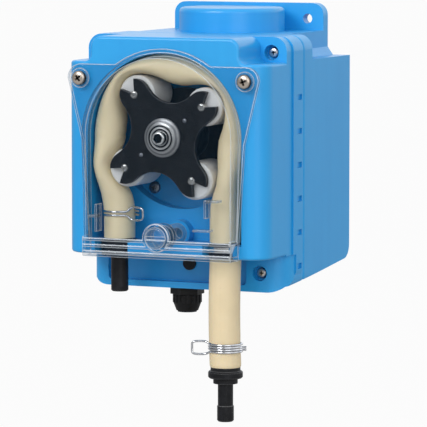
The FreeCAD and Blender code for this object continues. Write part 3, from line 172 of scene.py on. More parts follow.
def moulded_blue():
    """Bright blue moulded plastic with a fine grain and faint flow lines."""
    f = Finish("moulded_blue")
    flow = f.noise(9, 3, (22, 22, 1.2))
    cloud = f.noise(38, 2)
    grain = f.noise(2600, 2)
    colour = f.blend(flow * 0.5 + cloud * 0.5, rgb(14, 146, 217), rgb(32, 164, 229))
    return f.close(f.shader(
        Base_Color=colour, Roughness=0.36 + grain * 0.12, Coat_Weight=0.3, Coat_Roughness=0.2,
        Normal=f.bump(grain + flow * 0.6, 0.00003, 0.55)))


def clear_plastic(name, dark, tint, edge):
    """Clear moulded plastic: it shines and darkens at a flat angle, and its edges catch the light."""
    f = Finish(name)
    ripple = f.noise(160, 2)
    scratch = f.ramp(f.noise(700, 3, (1, 1, 0.05)), 0.68, 0.75)
    flat = f.node("ShaderNodeNewGeometry", output="True Normal")
    slant = f.node("ShaderNodeLayerWeight", {}, {"Blend": 0.5, "Normal": flat}, "Facing")
    lit, rounded = f.edge(0.0009, 0.99, 0.86, flat)
    body = f.shader(
        Base_Color=f.blend(lit, dark, (0.86, 0.92, 0.97, 1)), Roughness=0.05 + scratch * 0.2,
        Specular_IOR_Level=0.8, IOR=1.5, Normal=f.bump(ripple, 0.00006, 0.4, Normal=rounded))
    through = f.node("ShaderNodeBsdfTransparent", {}, {"Color": tint})
    share = 0.03 + (slant ** 2.4) * edge + scratch * 0.05 + lit * 0.6
    return f.close(f.node("ShaderNodeMixShader", {}, {0: share, 1: through, 2: body}))


def bright_steel(name, colour, rough):
    """Plated steel with fine drawn lines."""
    f = Finish(name)
    lines = f.noise(5200, 2, (1, 0.05, 1))
    cloud = f.noise(420, 2)
    return f.close(f.shader(
        Base_Color=f.blend(cloud, colour, tuple(0.72 * c for c in colour[:3]) + (1,)),
        Metallic=1.0, Roughness=rough + lines * 0.12, Normal=f.bump(lines, 0.000012, 0.5)))


def turned_steel():
    """Steel faced on a lathe: rings about the rotor's axis, with painted shade in two grooves and on a
    rim that darkens outward.
    """
    f = Finish("turned_steel")
    spot = f.node("ShaderNodeMapping", {}, {
        "Vector": f.place, "Location": (0, 0, -ROTOR_Z * MM), "Scale": (1, 0, 1)})
    radius = f.node("ShaderNodeVectorMath", {"operation": "LENGTH"}, {0: spot}, "Value")
    # Painted shade: the two grooves are coloured near black.
    inner_groove = f.ramp(radius, 0.0031, 0.0033) * f.ramp(radius, 0.0039, 0.0037)
    outer_groove = f.ramp(radius, 0.0046, 0.0048) * f.ramp(radius, 0.0055, 0.0052)
    painted_groove_shade = inner_groove + outer_groove
    # Painted shade: the outer slope darkens towards its rim.
    rim = f.ramp(radius, 0.0055, 0.0085)
    rings = f.node("ShaderNodeTexWave", {"wave_type": "RINGS", "rings_direction": "Y"}, {
        "Vector": spot, "Scale": 210.0, "Distortion": 0.8, "Detail": 2.0}, "Fac")
    fine = f.noise(2600, 2)
    turned = f.blend(rings * 0.5 + fine * 0.3 + rim * 0.5, (0.74, 0.73, 0.71, 1), (0.16, 0.16, 0.17, 1))
    return f.close(f.shader(
        Base_Color=f.blend(painted_groove_shade, turned, (0.02, 0.02, 0.022, 1)), Metallic=1.0,
        Roughness=0.28 + fine * 0.14, Normal=f.bump(rings, 0.00012, 0.7)))


def recessed_steel(name, colour, front, back):
    """Steel with painted shade: it darkens from one depth to another, both Y in metres, so that its
    recesses look shaded.
    """
    f = Finish(name)
    depth = f.node("ShaderNodeSeparateXYZ", {}, {"Vector": f.place}, "Y")
    fine = f.noise(2600, 2)
    # Painted shade: the colour goes near black from the front depth to the back depth.
    return f.close(f.shader(
        Base_Color=f.blend(f.ramp(depth, front, back), colour, (0.02, 0.02, 0.022, 1)),
        Metallic=1.0, Roughness=0.22 + fine * 0.16, Normal=f.bump(fine, 0.00002, 0.5)))


def black_plastic(name, colour, rough, edge_highlight_share=0.9):
    """Black moulded plastic with a fine spark-eroded grain, and a painted highlight that makes its
    edges lighter.
    """
    f = Finish(name)
    grain = f.noise(3300, 2)
    cloud = f.noise(240, 3)
    lighter = tuple(2.1 * c + 0.004 for c in colour[:3]) + (1,)
    # Painted highlight: an edge mask that turns the colour grey along the edges, by the share given.
    painted_edge_highlight, soft = f.edge(0.0005, 0.985, 0.88)
    plain = f.blend(f.ramp(cloud, 0.35, 0.75), colour, lighter)
    return f.close(f.shader(
        Base_Color=f.blend(painted_edge_highlight * edge_highlight_share, plain, (0.11, 0.11, 0.115, 1)),
        Roughness=rough + grain * 0.16, Specular_IOR_Level=0.26,
        Normal=f.bump(grain * 0.4 + cloud * 3, 0.00014, 0.9, Normal=soft)))


def roller_white():
    """White hard plastic, polished by the tube."""
    f = Finish("roller_white")
    cloud = f.noise(300, 3)
    return f.close(f.shader(
        Base_Color=f.blend(cloud, rgb(213, 211, 209), rgb(236, 234, 231)),
        Roughness=0.3 + cloud * 0.2, Normal=f.bump(f.noise(2400, 2), 0.00002, 0.5),
        Subsurface_Weight=0.7, Subsurface_Radius=(1, 1, 1), Subsurface_Scale=0.005))


def beige_rubber(name, light, deep):
    """Beige hose rubber, slightly mottled, with faint lines from its extrusion."""
    f = Finish(name)
    cloud = f.noise(150, 3)
    lines = f.noise(420, 2, (1, 1, 0.03))
    speck = f.ramp(f.noise(2100, 2), 0.70, 0.78)
    soft = f.blend(cloud * 0.6 + lines * 0.4, deep, light)
    return f.close(f.shader(
        Base_Color=f.blend(speck * 0.35, soft, rgb(168, 142, 104)), Roughness=0.42 + cloud * 0.16,
        Subsurface_Weight=0.12, Subsurface_Radius=(0.004, 0.0025, 0.0012), Subsurface_Scale=0.4,
        Coat_Weight=0.1, Coat_Roughness=0.3, Normal=f.bump(lines + speck * 0.5, 0.00004, 0.5)))


def black_rubber():
    """Matt black rubber."""
    f = Finish("black_rubber")
    grain = f.noise(2600, 3)
    return f.close(f.shader(
        Base_Color=f.blend(grain, (0.010, 0.014, 0.022, 1), (0.022, 0.028, 0.04, 1)),
        Roughness=0.62 + grain * 0.2, Normal=f.bump(grain, 0.00006, 0.7)))


def circuit_green():
    """Green solder mask over straight copper tracks."""
    f = Finish("circuit_green")
    cells = f.node("ShaderNodeTexBrick", {"offset": 0.5}, {
        "Vector": f.place, "Scale": 260.0, "Mortar Size": 0.05, "Color1": (0, 0, 0, 1),
        "Color2": (0, 0, 0, 1), "Mortar": (1, 1, 1, 1)}, "Fac")
    return f.close(f.shader(
        Base_Color=f.blend(cells, (0.012, 0.13, 0.05, 1), (0.05, 0.26, 0.10, 1)),
        Roughness=0.32 + f.noise(500, 2) * 0.14, Normal=f.bump(cells, 0.00004, 0.6)))


BLUE = moulded_blue()
COVER = clear_plastic("cover_clear", dark=(0.03, 0.09, 0.16, 1), tint=(0.94, 0.955, 0.97, 1), edge=0.6)
# This finish's pale body colour is painted sheen: it whitens the knob and the washers at flat angles
# and along their edges.
KNOB = clear_plastic("knob_clear", dark=(0.42, 0.52, 0.62, 1), tint=(0.95, 0.96, 0.97, 1), edge=0.8)
STEEL = bright_steel("screw_steel", (0.86, 0.83, 0.78, 1), rough=0.2)
DULL = bright_steel("stud_steel", (0.30, 0.31, 0.34, 1), rough=0.3)
PIN = bright_steel("pin_steel", (0.62, 0.61, 0.59, 1), rough=0.1)
WIRE = bright_steel("wire_steel", (0.80, 0.82, 0.86, 1), rough=0.14)
ZINC = bright_steel("motor_zinc", (0.52, 0.53, 0.55, 1), rough=0.34)
BROWNED = recessed_steel("cover_screw_steel", (0.60, 0.53, 0.46, 1), front=-0.0962, back=-0.0954)
GREYED = recessed_steel("casing_screw_steel", (0.62, 0.60, 0.59, 1), front=-0.0674, back=-0.0668)
SOCKET = recessed_steel("recessed_steel", (0.82, 0.81, 0.79, 1), front=-0.0978, back=-0.0969)
TURNED = turned_steel()
# The black plastics carry a painted highlight that greys their edges; on the gland it is faint.
BLACK = black_plastic("rotor_black", (0.0025, 0.0025, 0.003, 1), rough=0.27)
FITTING = black_plastic("fitting_black", (0.003, 0.0035, 0.005, 1), rough=0.34)
GLAND = black_plastic("gland_black", (0.0012, 0.0014, 0.0018, 1), rough=0.36, edge_highlight_share=0.12)
ROLLER = roller_white()
# The tube and the hose are one rubber. The hose's copy carries painted shade: darker colours, because
# it stands in the lamps' direct light while the tube is seen through the cover.
BEIGE = beige_rubber("beige_tube", light=rgb(246, 228, 190), deep=rgb(224, 205, 164))
HOSE_WITH_PAINTED_SHADE = beige_rubber("beige_hose", light=rgb(232, 214, 178), deep=rgb(210, 192, 154))
RUBBER = black_rubber()
GREEN = circuit_green()

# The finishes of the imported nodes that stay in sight. The shaft, the pins and the inlet's ring
# are steel, and the nodes that a piece replaces further on may as well be.
CAD_FINISH = {
    "front_casing": BLUE, "rear_casing": BLUE, "casing_gasket": RUBBER, "cover_knob": KNOB,
    "front_spider": BLACK, "rear_spider": BLACK, "shaft_seal": RUBBER,
    "roller_1": ROLLER, "roller_2": ROLLER, "roller_3": ROLLER, "roller_4": ROLLER,
    "gearbox_case": FITTING, "motor_can": ZINC, "circuit_board": GREEN, "terminal_block": FITTING,
    "outlet_fitting": FITTING, "inlet_connector": FITTING, "inlet_fitting": FITTING,
    "base_plug": FITTING, "gland_body": GLAND, "gland_nut": GLAND, "gland_locknut": GLAND,
    "gland_seal": RUBBER,
}

for name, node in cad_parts.items():
    node.data.materials.clear()
    node.data.materials.append(CAD_FINISH.get(name, STEEL))


# Making pieces

def add_piece(name, mesh, finish, slot, body, *replaced):
    """A finished mesh in millimetres becomes a piece that rides on a body."""
    mesh.transform(Matrix.Scale(MM, 4))
    mesh.materials.clear()
    mesh.materials.append(finish)
    mesh.name = name
    piece = bpy.data.objects.new(name, mesh)
    scene.collection.objects.link(piece)
    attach(piece, body)
    if replaced:
        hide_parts(*replaced)


def helper_object(mesh):
    """An object that a modifier or a pattern reads, and that is removed afterwards."""
    helper = bpy.data.objects.new("helper", mesh)
    scene.collection.objects.link(helper)
    return helper


def baked(holder):
    """The plain mesh of an object's modifiers, with the object removed."""
    bpy.context.view_layer.update()
    shown = holder.evaluated_get(bpy.context.evaluated_depsgraph_get())
    done = bpy.data.meshes.new_from_object(shown)
    bpy.data.objects.remove(holder)
    return done


def smooth_by_angle(mesh, angle=35):
    """Smooth shading where neighbouring faces meet at less than the angle."""
    for face in mesh.polygons:
        face.use_smooth = True
    mesh.set_sharp_from_angle(angle=math.radians(angle))
    return mesh


def mesh_of(shape, angle=40):
    """The mesh of an edit shape, with smooth shading up to an angle."""
    bmesh.ops.remove_doubles(shape, verts=shape.verts, dist=1e-5)
    bmesh.ops.recalc_face_normals(shape, faces=shape.faces)
    mesh = bpy.data.meshes.new("shape")
    shape.to_mesh(mesh)
    shape.free()
    return smooth_by_angle(mesh, angle)


def joined(*meshes):
    """One mesh of several."""
    shape = bmesh.new()
    for mesh in meshes:
        shape.from_mesh(mesh)
    return mesh_of(shape, 30)


def circle_points(radius, count):
    """Points round a circle on X and Y."""
    return [(radius * math.cos(math.tau * k / count), radius * math.sin(math.tau * k / count))
            for k in range(count)]


def lathe(outline, steps=64):
    """An edit shape turned about Z from (radius, height) points."""
    shape = bmesh.new()
    rings = []
    for radius, height in outline:
        if radius < 1e-6:
            rings.append([shape.verts.new((0, 0, height))] * steps)
            continue
        rings.append([shape.verts.new((*point, height)) for point in circle_points(radius, steps)])
    for low, high in zip(rings, rings[1:]):
        for k in range(steps):
            corners = []
            for corner in (low[k], low[(k + 1) % steps], high[(k + 1) % steps], high[k]):
                if corner not in corners:
                    corners.append(corner)
            if len(corners) > 2:
                shape.faces.new(corners)
    return shape


def prism(outline, low, high):
    """An edit shape raised along Z from a closed outline of (x, y) points."""
    shape = bmesh.new()
    under = [shape.verts.new((x, y, low)) for x, y in outline]
    over = [shape.verts.new((x, y, high)) for x, y in outline]
    count = len(outline)
    for k in range(count):
        shape.faces.new((under[k], under[(k + 1) % count], over[(k + 1) % count], over[k]))
    shape.faces.new(under[::-1])
    shape.faces.new(over)
    return shape


def bar(across, depth, up):
    """A straight bar between two values on each axis."""
    left, right = across
    front, back = depth
    return mesh_of(prism([(left, front), (right, front), (right, back), (left, back)], *up), 30)


def cut(base, tools):
    """The base mesh less each tool mesh."""
    holder = helper_object(base)
    helpers = [helper_object(tool) for tool in tools]
    for helper in helpers:
        difference = holder.modifiers.new("cut", "BOOLEAN")
        difference.operation = "DIFFERENCE"
        difference.solver = "EXACT"
        difference.object = helper
    done = baked(holder)
    for helper in helpers:
        bpy.data.objects.remove(helper)
    return done


def facing_front(mesh, across, depth, up, turn=0):
    """Lays a mesh that stands on Z so that its Z end faces the front."""
    mesh.transform(Matrix.Translation((across, depth, up)) @ Matrix.Rotation(math.radians(90), 4, "X")
                   @ Matrix.Rotation(math.radians(turn), 4, "Z"))
    return mesh


class Pattern(Graph):
    """A Geometry Nodes tree with named inputs, run on a mesh or curve in millimetres."""

    def __init__(self, name, **inputs):
        tree = bpy.data.node_groups.new(name, "GeometryNodeTree")
        tree.interface.new_socket("Geometry", in_out="INPUT", socket_type="NodeSocketGeometry")
        tree.interface.new_socket("Geometry", in_out="OUTPUT", socket_type="NodeSocketGeometry")
        for word, kind in inputs.items():
            tree.interface.new_socket(word, in_out="INPUT", socket_type=f"NodeSocket{kind}")
        tree.interface.new_socket("Finish", in_out="INPUT", socket_type="NodeSocketMaterial")
        super().__init__(tree)
        self.entry = tree.nodes.new("NodeGroupInput")

    def given(self, word):
        """One of the tree's inputs."""
        return Value(self, self.entry.outputs[word])

    def close(self, geometry):
        """Ends the tree: instances become real and take the finish."""
        real = self.node("GeometryNodeRealizeInstances", {}, {0: geometry})
        done = self.node("GeometryNodeSetMaterial", {}, {
            "Geometry": real, "Material": self.given("Finish")})
        self.node("NodeGroupOutput", {}, {0: done})
        return self

    def run(self, start, finish, **values):
        """The plain mesh that the tree makes of the start data."""
        holder = helper_object(start)
        modifier = holder.modifiers.new("pattern", "NODES")
        modifier.node_group = self.tree
        values["Finish"] = finish
        for item in self.tree.interface.items_tree:
            if item.in_out == "INPUT" and item.name in values:
                modifier[item.identifier] = values[item.name]
        return baked(holder)


def points_mesh(places):
    """A mesh of loose points."""
    mesh = bpy.data.meshes.new("places")
    mesh.from_pydata([Vector(place) for place in places], [], [])
    return mesh


# Patterns

def screw_pattern():
    """A copy of the screw at each point, each turned by a seeded random angle about its own axis."""
    p = Pattern("screws_in_place", Screw="Object", Seed="Int")
    model = p.node("GeometryNodeObjectInfo", {}, {
        "Object": p.given("Screw"), "As Instance": True}, "Geometry")
    angle = p.node("FunctionNodeRandomValue", {"data_type": "FLOAT"}, {
        2: 0.0, 3: math.tau, "Seed": p.given("Seed")}, 1)
    turn = p.node("ShaderNodeCombineXYZ", {}, {"Y": angle})
    return p.close(p.node("GeometryNodeInstanceOnPoints", {}, {
        "Points": p.given("Geometry"), "Instance": model, "Rotation": turn}))


def ring_pattern():
    """Copies of a rib round the Z axis."""
    p = Pattern("ribs_round_a_ring", Rib="Object", Count="Int", Radius="Float")
    line = p.node("GeometryNodeMeshLine", {"mode": "OFFSET"}, {
        "Count": p.given("Count"), "Offset": (0, 0, 0)})
    spaced = p.node("GeometryNodeInputIndex") * p.sum_of("DIVIDE", math.tau, p.given("Count"))
    model = p.node("GeometryNodeObjectInfo", {}, {
        "Object": p.given("Rib"), "As Instance": True}, "Geometry")
    out = p.node("ShaderNodeCombineXYZ", {}, {"X": p.given("Radius")})
    heading = p.node("ShaderNodeCombineXYZ", {}, {"Z": spaced})
    turned = p.node("ShaderNodeVectorRotate", {"rotation_type": "EULER_XYZ"}, {
        "Vector": out, "Rotation": heading})
    ring = p.node("GeometryNodeSetPosition", {}, {"Geometry": line, "Offset": turned})
    return p.close(p.node("GeometryNodeInstanceOnPoints", {}, {
        "Points": ring, "Instance": model, "Rotation": heading}))


def wire_pattern():
    """A round wire along a curve, with closed ends."""
    p = Pattern("round_wire", Radius="Float", Sides="Int", Spacing="Float")
    path = p.node("GeometryNodeResampleCurve", {"mode": "LENGTH"}, {
        "Curve": p.given("Geometry"), "Length": p.given("Spacing")})
    section = p.node("GeometryNodeCurvePrimitiveCircle", {"mode": "RADIUS"}, {
        "Resolution": p.given("Sides"), "Radius": p.given("Radius")})
    return p.close(p.node("GeometryNodeCurveToMesh", {}, {
        "Curve": path, "Profile Curve": section, "Fill Caps": True}))


SCREWS = screw_pattern()
RING = ring_pattern()
WIRES = wire_pattern()


# Fastenings

def cross_screw(head, thick, recess):
    """A pan-head screw that stands on Z = 0, with a cross that reaches out by recess."""
    crown = [(head / 2, 0), (head / 2, thick * 0.28)]
    for step in range(1, 8):
        angle = math.radians(90 * step / 8)
        crown.append((head / 2 - thick * 0.55 * (1 - math.cos(angle)),
                      thick * (0.28 + 0.62 * math.sin(angle))))
    crown += [(head * 0.22, thick * 0.97), (0, thick)]
    base = mesh_of(lathe([(0, 0), *crown]))
    half_width = recess * 0.24
    tools = []
    for turn in (0, 90):
        arm = prism([(-recess, -half_width), (recess, -half_width),
                     (recess, half_width), (-recess, half_width)], 0, 1)
        for vertex in arm.verts:
            deep = vertex.co.z < 0.5
            vertex.co.x *= 0.34 if deep else 1
            vertex.co.y *= 0.7 if deep else 1
            vertex.co.z = thick * 0.22 if deep else thick * 1.2
        arm.transform(Matrix.Rotation(math.radians(turn), 4, "Z"))
        tools.append(mesh_of(arm))
    return smooth_by_angle(cut(base, tools))


def place_set(name, model, finish, slot, seat_y, places, seed, replaced):
    """Equal pieces that stand on Z = 0, laid to face the front at (x, z) places on the housing."""
    helper = helper_object(facing_front(model, 0, 0, 0))
    spots = points_mesh([(x, seat_y, z) for x, z in places])
    mesh = SCREWS.run(spots, finish, Screw=helper, Seed=seed)
    bpy.data.objects.remove(helper)
    add_piece(name, smooth_by_angle(mesh), finish, slot, "housing", *replaced)


def make_fastenings():
    """The heads of the cover's, the casing's and the gearbox's screws, and the cover's washers."""
    place_set("cover_pan_screws", cross_screw(head=6, thick=2, recess=1.9), BROWNED, "bright_steel",
              seat_y=-94.6, places=COVER_SCREWS, seed=3,
              replaced=["cover_screw_left", "cover_screw_right"])
    place_set("casing_pan_screws", cross_screw(head=4.4, thick=1.6, recess=1.15), GREYED,
              "bright_steel", seat_y=-66.1, seed=8,
              places=[(38.2, -11.5), (-38.2, -11.5), (33, -102.7), (-33, -102.7)],
              replaced=[f"casing_screw_{count}" for count in range(1, 5)])
    place_set("gearbox_pan_screws", cross_screw(head=5, thick=1.6, recess=1.3), DULL, "bright_steel",
              seat_y=-67.6, places=[(-15.2, -68.9), (15.2, -68.9)], seed=5,
              replaced=["gearbox_screw_left", "gearbox_screw_right"])
    washer = mesh_of(lathe([(1.6, 0), (1.6, 0.72), (3.85, 0.72), (4.15, 0.45), (4.15, 0), (1.6, 0)]))
    place_set("clear_washers", washer, KNOB, "clear_plastic", seat_y=-93.86, places=COVER_SCREWS,
              seed=1, replaced=["cover_washer_left", "cover_washer_right"])


def make_clear_cover():
    """The cover as it was drawn, a hair in front of the housing, its lip drawn in to the arch's
    width, and the ribs inside it."""
    arch_half = 32.6
    lip_top = -86.9
    drawn_in = 0.2
    rib_depth = (-98.1, -93)
    shape = bmesh.new()
    shape.from_mesh(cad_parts["clear_cover"].data)
    bmesh.ops.scale(shape, verts=shape.verts, vec=(1 / MM,) * 3)
    bmesh.ops.remove_doubles(shape, verts=shape.verts, dist=0.001)
    for vertex in shape.verts:
        spot = vertex.co
        if spot.y > COVER_BACK - 0.01:
            spot.y = COVER_BACK - 0.04
        if spot.z < lip_top and abs(spot.x) > arch_half:
            spot.x = math.copysign(arch_half + (abs(spot.x) - arch_half) * drawn_in, spot.x)
    add_piece("clear_cover_shell", mesh_of(shape, 1), COVER, "clear_plastic", "housing", "clear_cover")
    ribs = [bar(across, rib_depth, up) for across, up in (
        ((20.6, 21.5), (-78, -70.6)), ((21.5, 26.4), (-71.5, -70.6)),
        ((-28.6, -27.7), (-85.2, -73.8)), ((-31.2, -28.6), (-79.3, -78.4)),
        ((15.6, 22.4), (-83.6, -82.8)),
    )]
    add_piece("cover_inner_ribs", joined(*ribs), COVER, "clear_plastic", "housing")


def ring_of(model, finish, count, radius):
    """Equal copies of a model round the Z axis."""
    helper = helper_object(model)
    mesh = RING.run(points_mesh([(0, 0, 0)]), finish, Rib=helper, Count=count, Radius=radius)
    bpy.data.objects.remove(helper)
    return smooth_by_angle(mesh)


def make_small_rings():
    """The studs and pin ends on the rotor's front plate, and the grip ribs of the gland's nut."""
    stud = [(0, 0), (0.85, 0), (0.85, 0.2), (0.6, 0.42), (0, 0.5)]
    pin_end = [(0, 0), (1.42, 0), (1.42, 0.12), (1.2, 0.4), (0.7, 0.55), (0.45, 0.5), (0.3, 0.32),
               (0, 0.3)]
    for name, outline, finish, count, radius, front in (
        ("spider_studs", stud, DULL, 2, 12.2, PLATE_FRONT),
        ("pin_ends", pin_end, PIN, 4, PIN_CIRCLE, PLATE_FRONT - 0.48),
    ):
        ring = ring_of(mesh_of(lathe(outline, steps=24)), finish, count, radius)
        facing_front(ring, 0, front, ROTOR_Z, ROTOR_PHASE)
        add_piece(name, ring, finish, "bright_steel", "rotor")
    grip = bar((-0.25, 0.3), (-0.45, 0.45), (-117.3, -114))
    grips = ring_of(grip, GLAND, count=18, radius=5.8)
    grips.transform(Matrix.Translation(GLAND_PLACE))
    add_piece("gland_nut_grips", grips, GLAND, "black_plastic", "housing")


def make_rotor_nose():
    """The turned cone washer with its tool marks, and the socket screw in it."""
    bore, rim, rim_height = 1.6, 8.1, 0.5
    face = [(bore, 2.4), (3.2, 2.4), (3.3, 2.0), (3.75, 2.0), (3.85, 2.4), (4.7, 2.4), (4.8, 2.1),
            (5.1, 2.1), (5.2, 2.38)]
    slope = []
    cuts = 6
    for step in range(cuts):
        share = step / cuts
        radius, height = 5.3 + 2.8 * share, 2.36 - 1.86 * share
        slope += [(radius, height), (radius + 0.3, height - 0.12), (radius + 0.4, height - 0.3)]
    outline = [(bore, 0), *face, *slope, (rim, rim_height), (rim, 0), (bore, 0)]
    cone = mesh_of(lathe(outline, steps=96), angle=25)
    facing_front(cone, 0, PLATE_FRONT, ROTOR_Z)
    add_piece("turned_cone", cone, TURNED, "bright_steel", "rotor", "rotor_cone")
    head = [(0, 0), (2.75, 0), (2.75, 2.2), (2.6, 2.45), (2.35, 2.6), (0, 2.6)]
    flat_to_middle = 1.85
    socket = circle_points(flat_to_middle / math.cos(math.pi / 6), 6)
    head = cut(mesh_of(lathe(head, steps=48)), [mesh_of(prism(socket, low=1.1, high=4))])
    facing_front(smooth_by_angle(head), 0, PLATE_FRONT - 2.4, ROTOR_Z, turn=12)
    add_piece("socket_screw", head, SOCKET, "bright_steel", "rotor", "rotor_screw")


# Tube and hose

def easing(share):
    """0 to 1 with a soft start and end."""
    share = min(max(share, 0.0), 1.0)
    return share * share * (3 - 2 * share)


def bump_at(share):
    """1 at 0, falling softly to 0 at 1 and at -1."""
    return math.cos(min(abs(share), 1.0) * math.pi / 2) ** 2


def tube_section(sign, height, bend_start, bend_long, press, roller_angle):
    """One section of a leg at a height from the rotor's axis.

    It gives the section's middle, its outward way and its thickness. The leg bends in from the
    track below bend_start. A roller at roller_angle presses it by up to press, or by as much as
    the roller's own circle asks."""
    roller_x = PIN_CIRCLE * abs(math.cos(math.radians(roller_angle)))
    off = height - PIN_CIRCLE * math.sin(math.radians(roller_angle))
    bent = easing((-height - bend_start) / bend_long)
    outer = TRACK_RADIUS - (TRACK_RADIUS - TUBE_RADIUS - LEG_X) * bent
    thick = TUBE_DIA - press * bump_at(off / (1.7 * ROLLER_RADIUS))
    if abs(off) < ROLLER_RADIUS:
        thick = min(thick, outer - roller_x - math.sqrt(ROLLER_RADIUS ** 2 - off ** 2))
    return Vector((sign * (outer - thick / 2), 0, height)), Vector((sign, 0, 0)), thick


def tube_sections():
    """The pumping tube's sections from the left end, over the track, to the right end."""
    leg_end = -42.6
    leg_steps = 48
    arch_step = 1.5
    arch_press, arch_reach = 8, 43
    bend_long = TUBE_DIA * 1.8
    heights = [leg_end * share / leg_steps for share in range(leg_steps, 0, -1)]
    sections = [tube_section(-1, z, bend_start=TUBE_DIA * 0.75, bend_long=bend_long,
                             press=TUBE_DIA * 0.35, roller_angle=ROTOR_PHASE + 180)
                for z in heights]
    for step in range(round(180 / arch_step) + 1):
        angle = 180 - arch_step * step
        off = (angle - ROTOR_PHASE + 45) % 90 - 45
        thick = TUBE_DIA - arch_press * (1 - easing(abs(off) / arch_reach))
        across = PIN_CIRCLE * math.sin(math.radians(off))
        if abs(across) < ROLLER_RADIUS:
            surface = (PIN_CIRCLE * math.cos(math.radians(off))
                       + math.sqrt(ROLLER_RADIUS ** 2 - across ** 2))
            thick = min(thick, TRACK_RADIUS - surface)
        outward = Vector((math.cos(math.radians(angle)), 0, math.sin(math.radians(angle))))
        sections.append((outward * (TRACK_RADIUS - thick / 2), outward, thick))
    sections += [tube_section(1, z, bend_start=0, bend_long=bend_long,
                              press=TUBE_DIA * 0.22, roller_angle=ROTOR_PHASE - 90)
                 for z in heights[::-1]]
    return sections


def hollow_tube(rings, depth):
    """An edit shape from rings of points, open at both ends down a bore of that many rings."""
    shape = bmesh.new()
    loops = [[shape.verts.new(point) for point in ring] for ring in rings]
    count = len(rings[0])
    for low, high in zip(loops, loops[1:]):
        for k in range(count):
            shape.faces.new((low[k], low[(k + 1) % count], high[(k + 1) % count], high[k]))
    for end, inward in ((loops[0], loops[1:depth]), (loops[-1], loops[-2:-depth - 1:-1])):
        last = end
        for loop in [end, *inward]:
            middle = sum((vertex.co for vertex in loop), Vector()) / count
            inner = [shape.verts.new(middle + (vertex.co - middle) * BORE_SHARE) for vertex in loop]
            for k in range(count):
                shape.faces.new((last[k], last[(k + 1) % count], inner[(k + 1) % count], inner[k]))
            last = inner
        shape.faces.new(last)
    return shape


def make_pump_tube():
    """The pumping tube, wider from front to back where it is pressed thin."""
    rings = []
    for centre, outward, thick in tube_sections():
        half = min(thick / 2, TUBE_RADIUS - 0.01)
        wide = math.sqrt(2 * TUBE_RADIUS ** 2 - half ** 2)
        middle = centre + Vector((0, TUBE_Y, ROTOR_Z))
        rings.append([middle + outward * half * x + Vector((0, wide * y, 0))
                      for x, y in circle_points(1, 40)])
    mesh = mesh_of(hollow_tube(rings, depth=12), angle=50)
    add_piece("pumping_tube", mesh, BEIGE, "beige_tube", "housing", "pump_tube")


def make_hose():
    """The lower hose, a little tight where its clamp holds it and broken at its ends' edges."""
    top, bottom = -95.1, -140.1
    squeeze, squeeze_half = 0.22, 2.2
    end_break = 0.25
    lean = 0.5
    rings = []
    steps = 60
    for step in range(steps + 1):
        share = step / steps
        height = top + (bottom - top) * share
        radius = TUBE_RADIUS - squeeze * math.exp(-((height - INLET_CLAMP_Z) / squeeze_half) ** 2)
        if step in (0, steps):
            radius -= end_break
        middle_x = LEG_X - lean * math.sin(math.pi * share)
        rings.append([(middle_x + x, TUBE_Y + y, height) for x, y in circle_points(radius, 48)])
    mesh = mesh_of(hollow_tube(rings, depth=14), angle=50)
    add_piece("lower_hose", mesh, HOSE_WITH_PAINTED_SHADE, "beige_tube", "housing", "inlet_hose")


def wire_curve(points):
    """A smooth curve through points given in millimetres."""
    curve = bpy.data.curves.new("wire", "CURVE")
    curve.dimensions = "3D"
    spline = curve.splines.new("NURBS")
    spline.points.add(len(points) - 1)
    for item, point in zip(spline.points, points):
        item.co = (*point, 1)
    spline.use_endpoint_u = True
    spline.order_u = 3
    spline.resolution_u = 8
    return curve


def clamp_wire(radius, heading, way, tail, pitches, half_loop, reach):
    """One bent wire: a cut end, round the hose, out into a loop, back round, a second cut end.

    Angles count from the loop's heading, way is the sense of the winding, and tail is where the
    cut ends stand. The two pitches are the strands' heights near the cut ends and near the loop.
    The loop is twice half_loop high and stands out by reach."""
    low, high = pitches

    def spot(angle, out, height):
        turn = math.radians(heading + way * angle)
        return (out * math.cos(turn), out * math.sin(turn), height)

    half = [spot(tail, radius + 2.6, low), spot(tail + 3, radius + 1.3, low),
            spot(tail + 8, radius + 0.3, low)]
    for angle in range(tail + 16, 329, 15):
        half.append(spot(angle, radius, low + (high - low) * easing((angle - 60) / 110)))
    half += [spot(332, radius, high), spot(341, radius + 0.2, high + (half_loop - high) * 0.25),
             spot(347, radius + 1.0, half_loop * 0.9), spot(351, radius + 2.2, half_loop),
             spot(353, radius + reach * 0.75, half_loop),
             spot(355, radius + reach, half_loop * 0.85), spot(356, radius + reach, half_loop * 0.2)]
    return half + [(x, y, -z) for x, y, z in half[::-1]]


def make_clamp(name, across, up, replaced, **bends):
    """A double-wire spring clamp round a hose."""
    mesh = WIRES.run(wire_curve(clamp_wire(**bends)), WIRE, Radius=0.46, Sides=12, Spacing=0.35)
    mesh.transform(Matrix.Translation((across, TUBE_Y, up)))
    add_piece(name, smooth_by_angle(mesh, 50), WIRE, "bright_steel", "housing", replaced)


# Setting

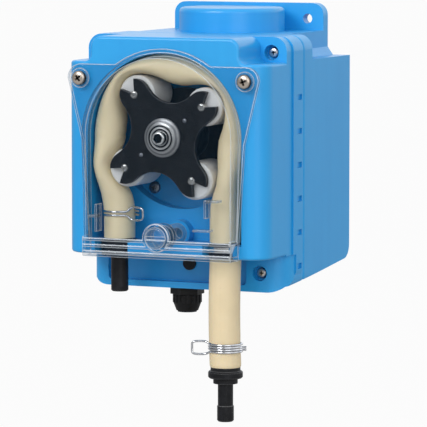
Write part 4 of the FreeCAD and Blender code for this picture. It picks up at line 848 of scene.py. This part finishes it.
def make_setting():
    """A plain pale floor under an even studio light, brighter behind the part in reflections."""
    half, height = 14, -0.3
    floor_mesh = bpy.data.meshes.new("floor")
    floor_mesh.from_pydata([(-half, -half, height), (half, -half, height), (half, half, height),
                            (-half, half, height)], [], [(0, 1, 2, 3)])
    floor = bpy.data.objects.new("floor", floor_mesh)
    scene.collection.objects.link(floor)
    f = Finish("pale_floor")
    plain = f.node("ShaderNodeEmission", {}, {"Color": (1, 1, 1, 1), "Strength": 1.0})
    matt = f.shader(Base_Color=(0.4, 0.4, 0.4, 1), Roughness=0.9)
    seen = f.node("ShaderNodeLightPath", output="Is Camera Ray") * 0.95
    mixed = f.node("ShaderNodeMixShader", {}, {0: seen, 1: matt, 2: plain})
    floor_mesh.materials.append(f.close(mixed))

    world = bpy.data.worlds.new("studio")
    scene.world = world
    world.use_nodes = True
    world.node_tree.nodes.clear()
    g = Graph(world.node_tree)
    behind = (0.5, 0.8, 0.35)
    direct = g.node("ShaderNodeLightPath", output="Is Camera Ray")
    glossy = g.node("ShaderNodeLightPath", output="Is Glossy Ray")
    toward = g.node("ShaderNodeVectorMath", {"operation": "DOT_PRODUCT"}, {
        0: g.node("ShaderNodeTexCoord", output="Generated"), 1: behind}, "Value")
    backdrop = g.ramp(toward, -0.35, 0.7)
    unseen = 0.67 + backdrop * 0.2 + glossy * (backdrop * 0.8 - 0.4)
    strength = unseen + direct * (1 - unseen)
    back = g.node("ShaderNodeBackground", {}, {"Color": (1, 1, 1, 1), "Strength": strength})
    g.node("ShaderNodeOutputWorld", {}, {"Surface": back})

    aim = Vector((0, -0.05, -0.06))
    for name, place, size, power in (
        ("key", (-0.4, -1.4, 0.75), 0.7, 12.5),
        ("fill", (0.9, -1.15, 0.35), 0.9, 5.5),
    ):
        lamp = bpy.data.lights.new(name, "AREA")
        lamp.size = size
        lamp.energy = power
        light = bpy.data.objects.new(name, lamp)
        light.location = place
        light.rotation_euler = (aim - Vector(place)).to_track_quat("-Z", "Y").to_euler()
        scene.collection.objects.link(light)


def make_camera():
    """The photograph's view: from the front right, a little above, with a long lens."""
    place = Vector((0.5908, -1.3689, 0.0578))
    aim = Vector((0.01424, -0.074, -0.07815))
    lens = bpy.data.cameras.new("camera")
    lens.sensor_width = 36
    lens.lens = 290.9
    lens.clip_end = 60
    camera = bpy.data.objects.new("camera", lens)
    camera.location = place
    camera.rotation_euler = (aim - place).to_track_quat("-Z", "Y").to_euler()
    scene.collection.objects.link(camera)
    scene.camera = camera


make_camera()
make_setting()
make_fastenings()
make_clear_cover()
make_rotor_nose()
make_small_rings()
make_pump_tube()
make_hose()
make_clamp("outlet_wire_clamp", -LEG_X, -78.2, "outlet_clamp", radius=6.95, heading=-16, way=1,
           tail=12, pitches=(0.75, 0.75), half_loop=2.7, reach=6.8)
make_clamp("inlet_wire_clamp", LEG_X, INLET_CLAMP_Z, "inlet_clamp", radius=6.85, heading=203, way=-1,
           tail=-155, pitches=(0.5, 1.5), half_loop=2.7, reach=6.9)

bpy.context.view_layer.update()
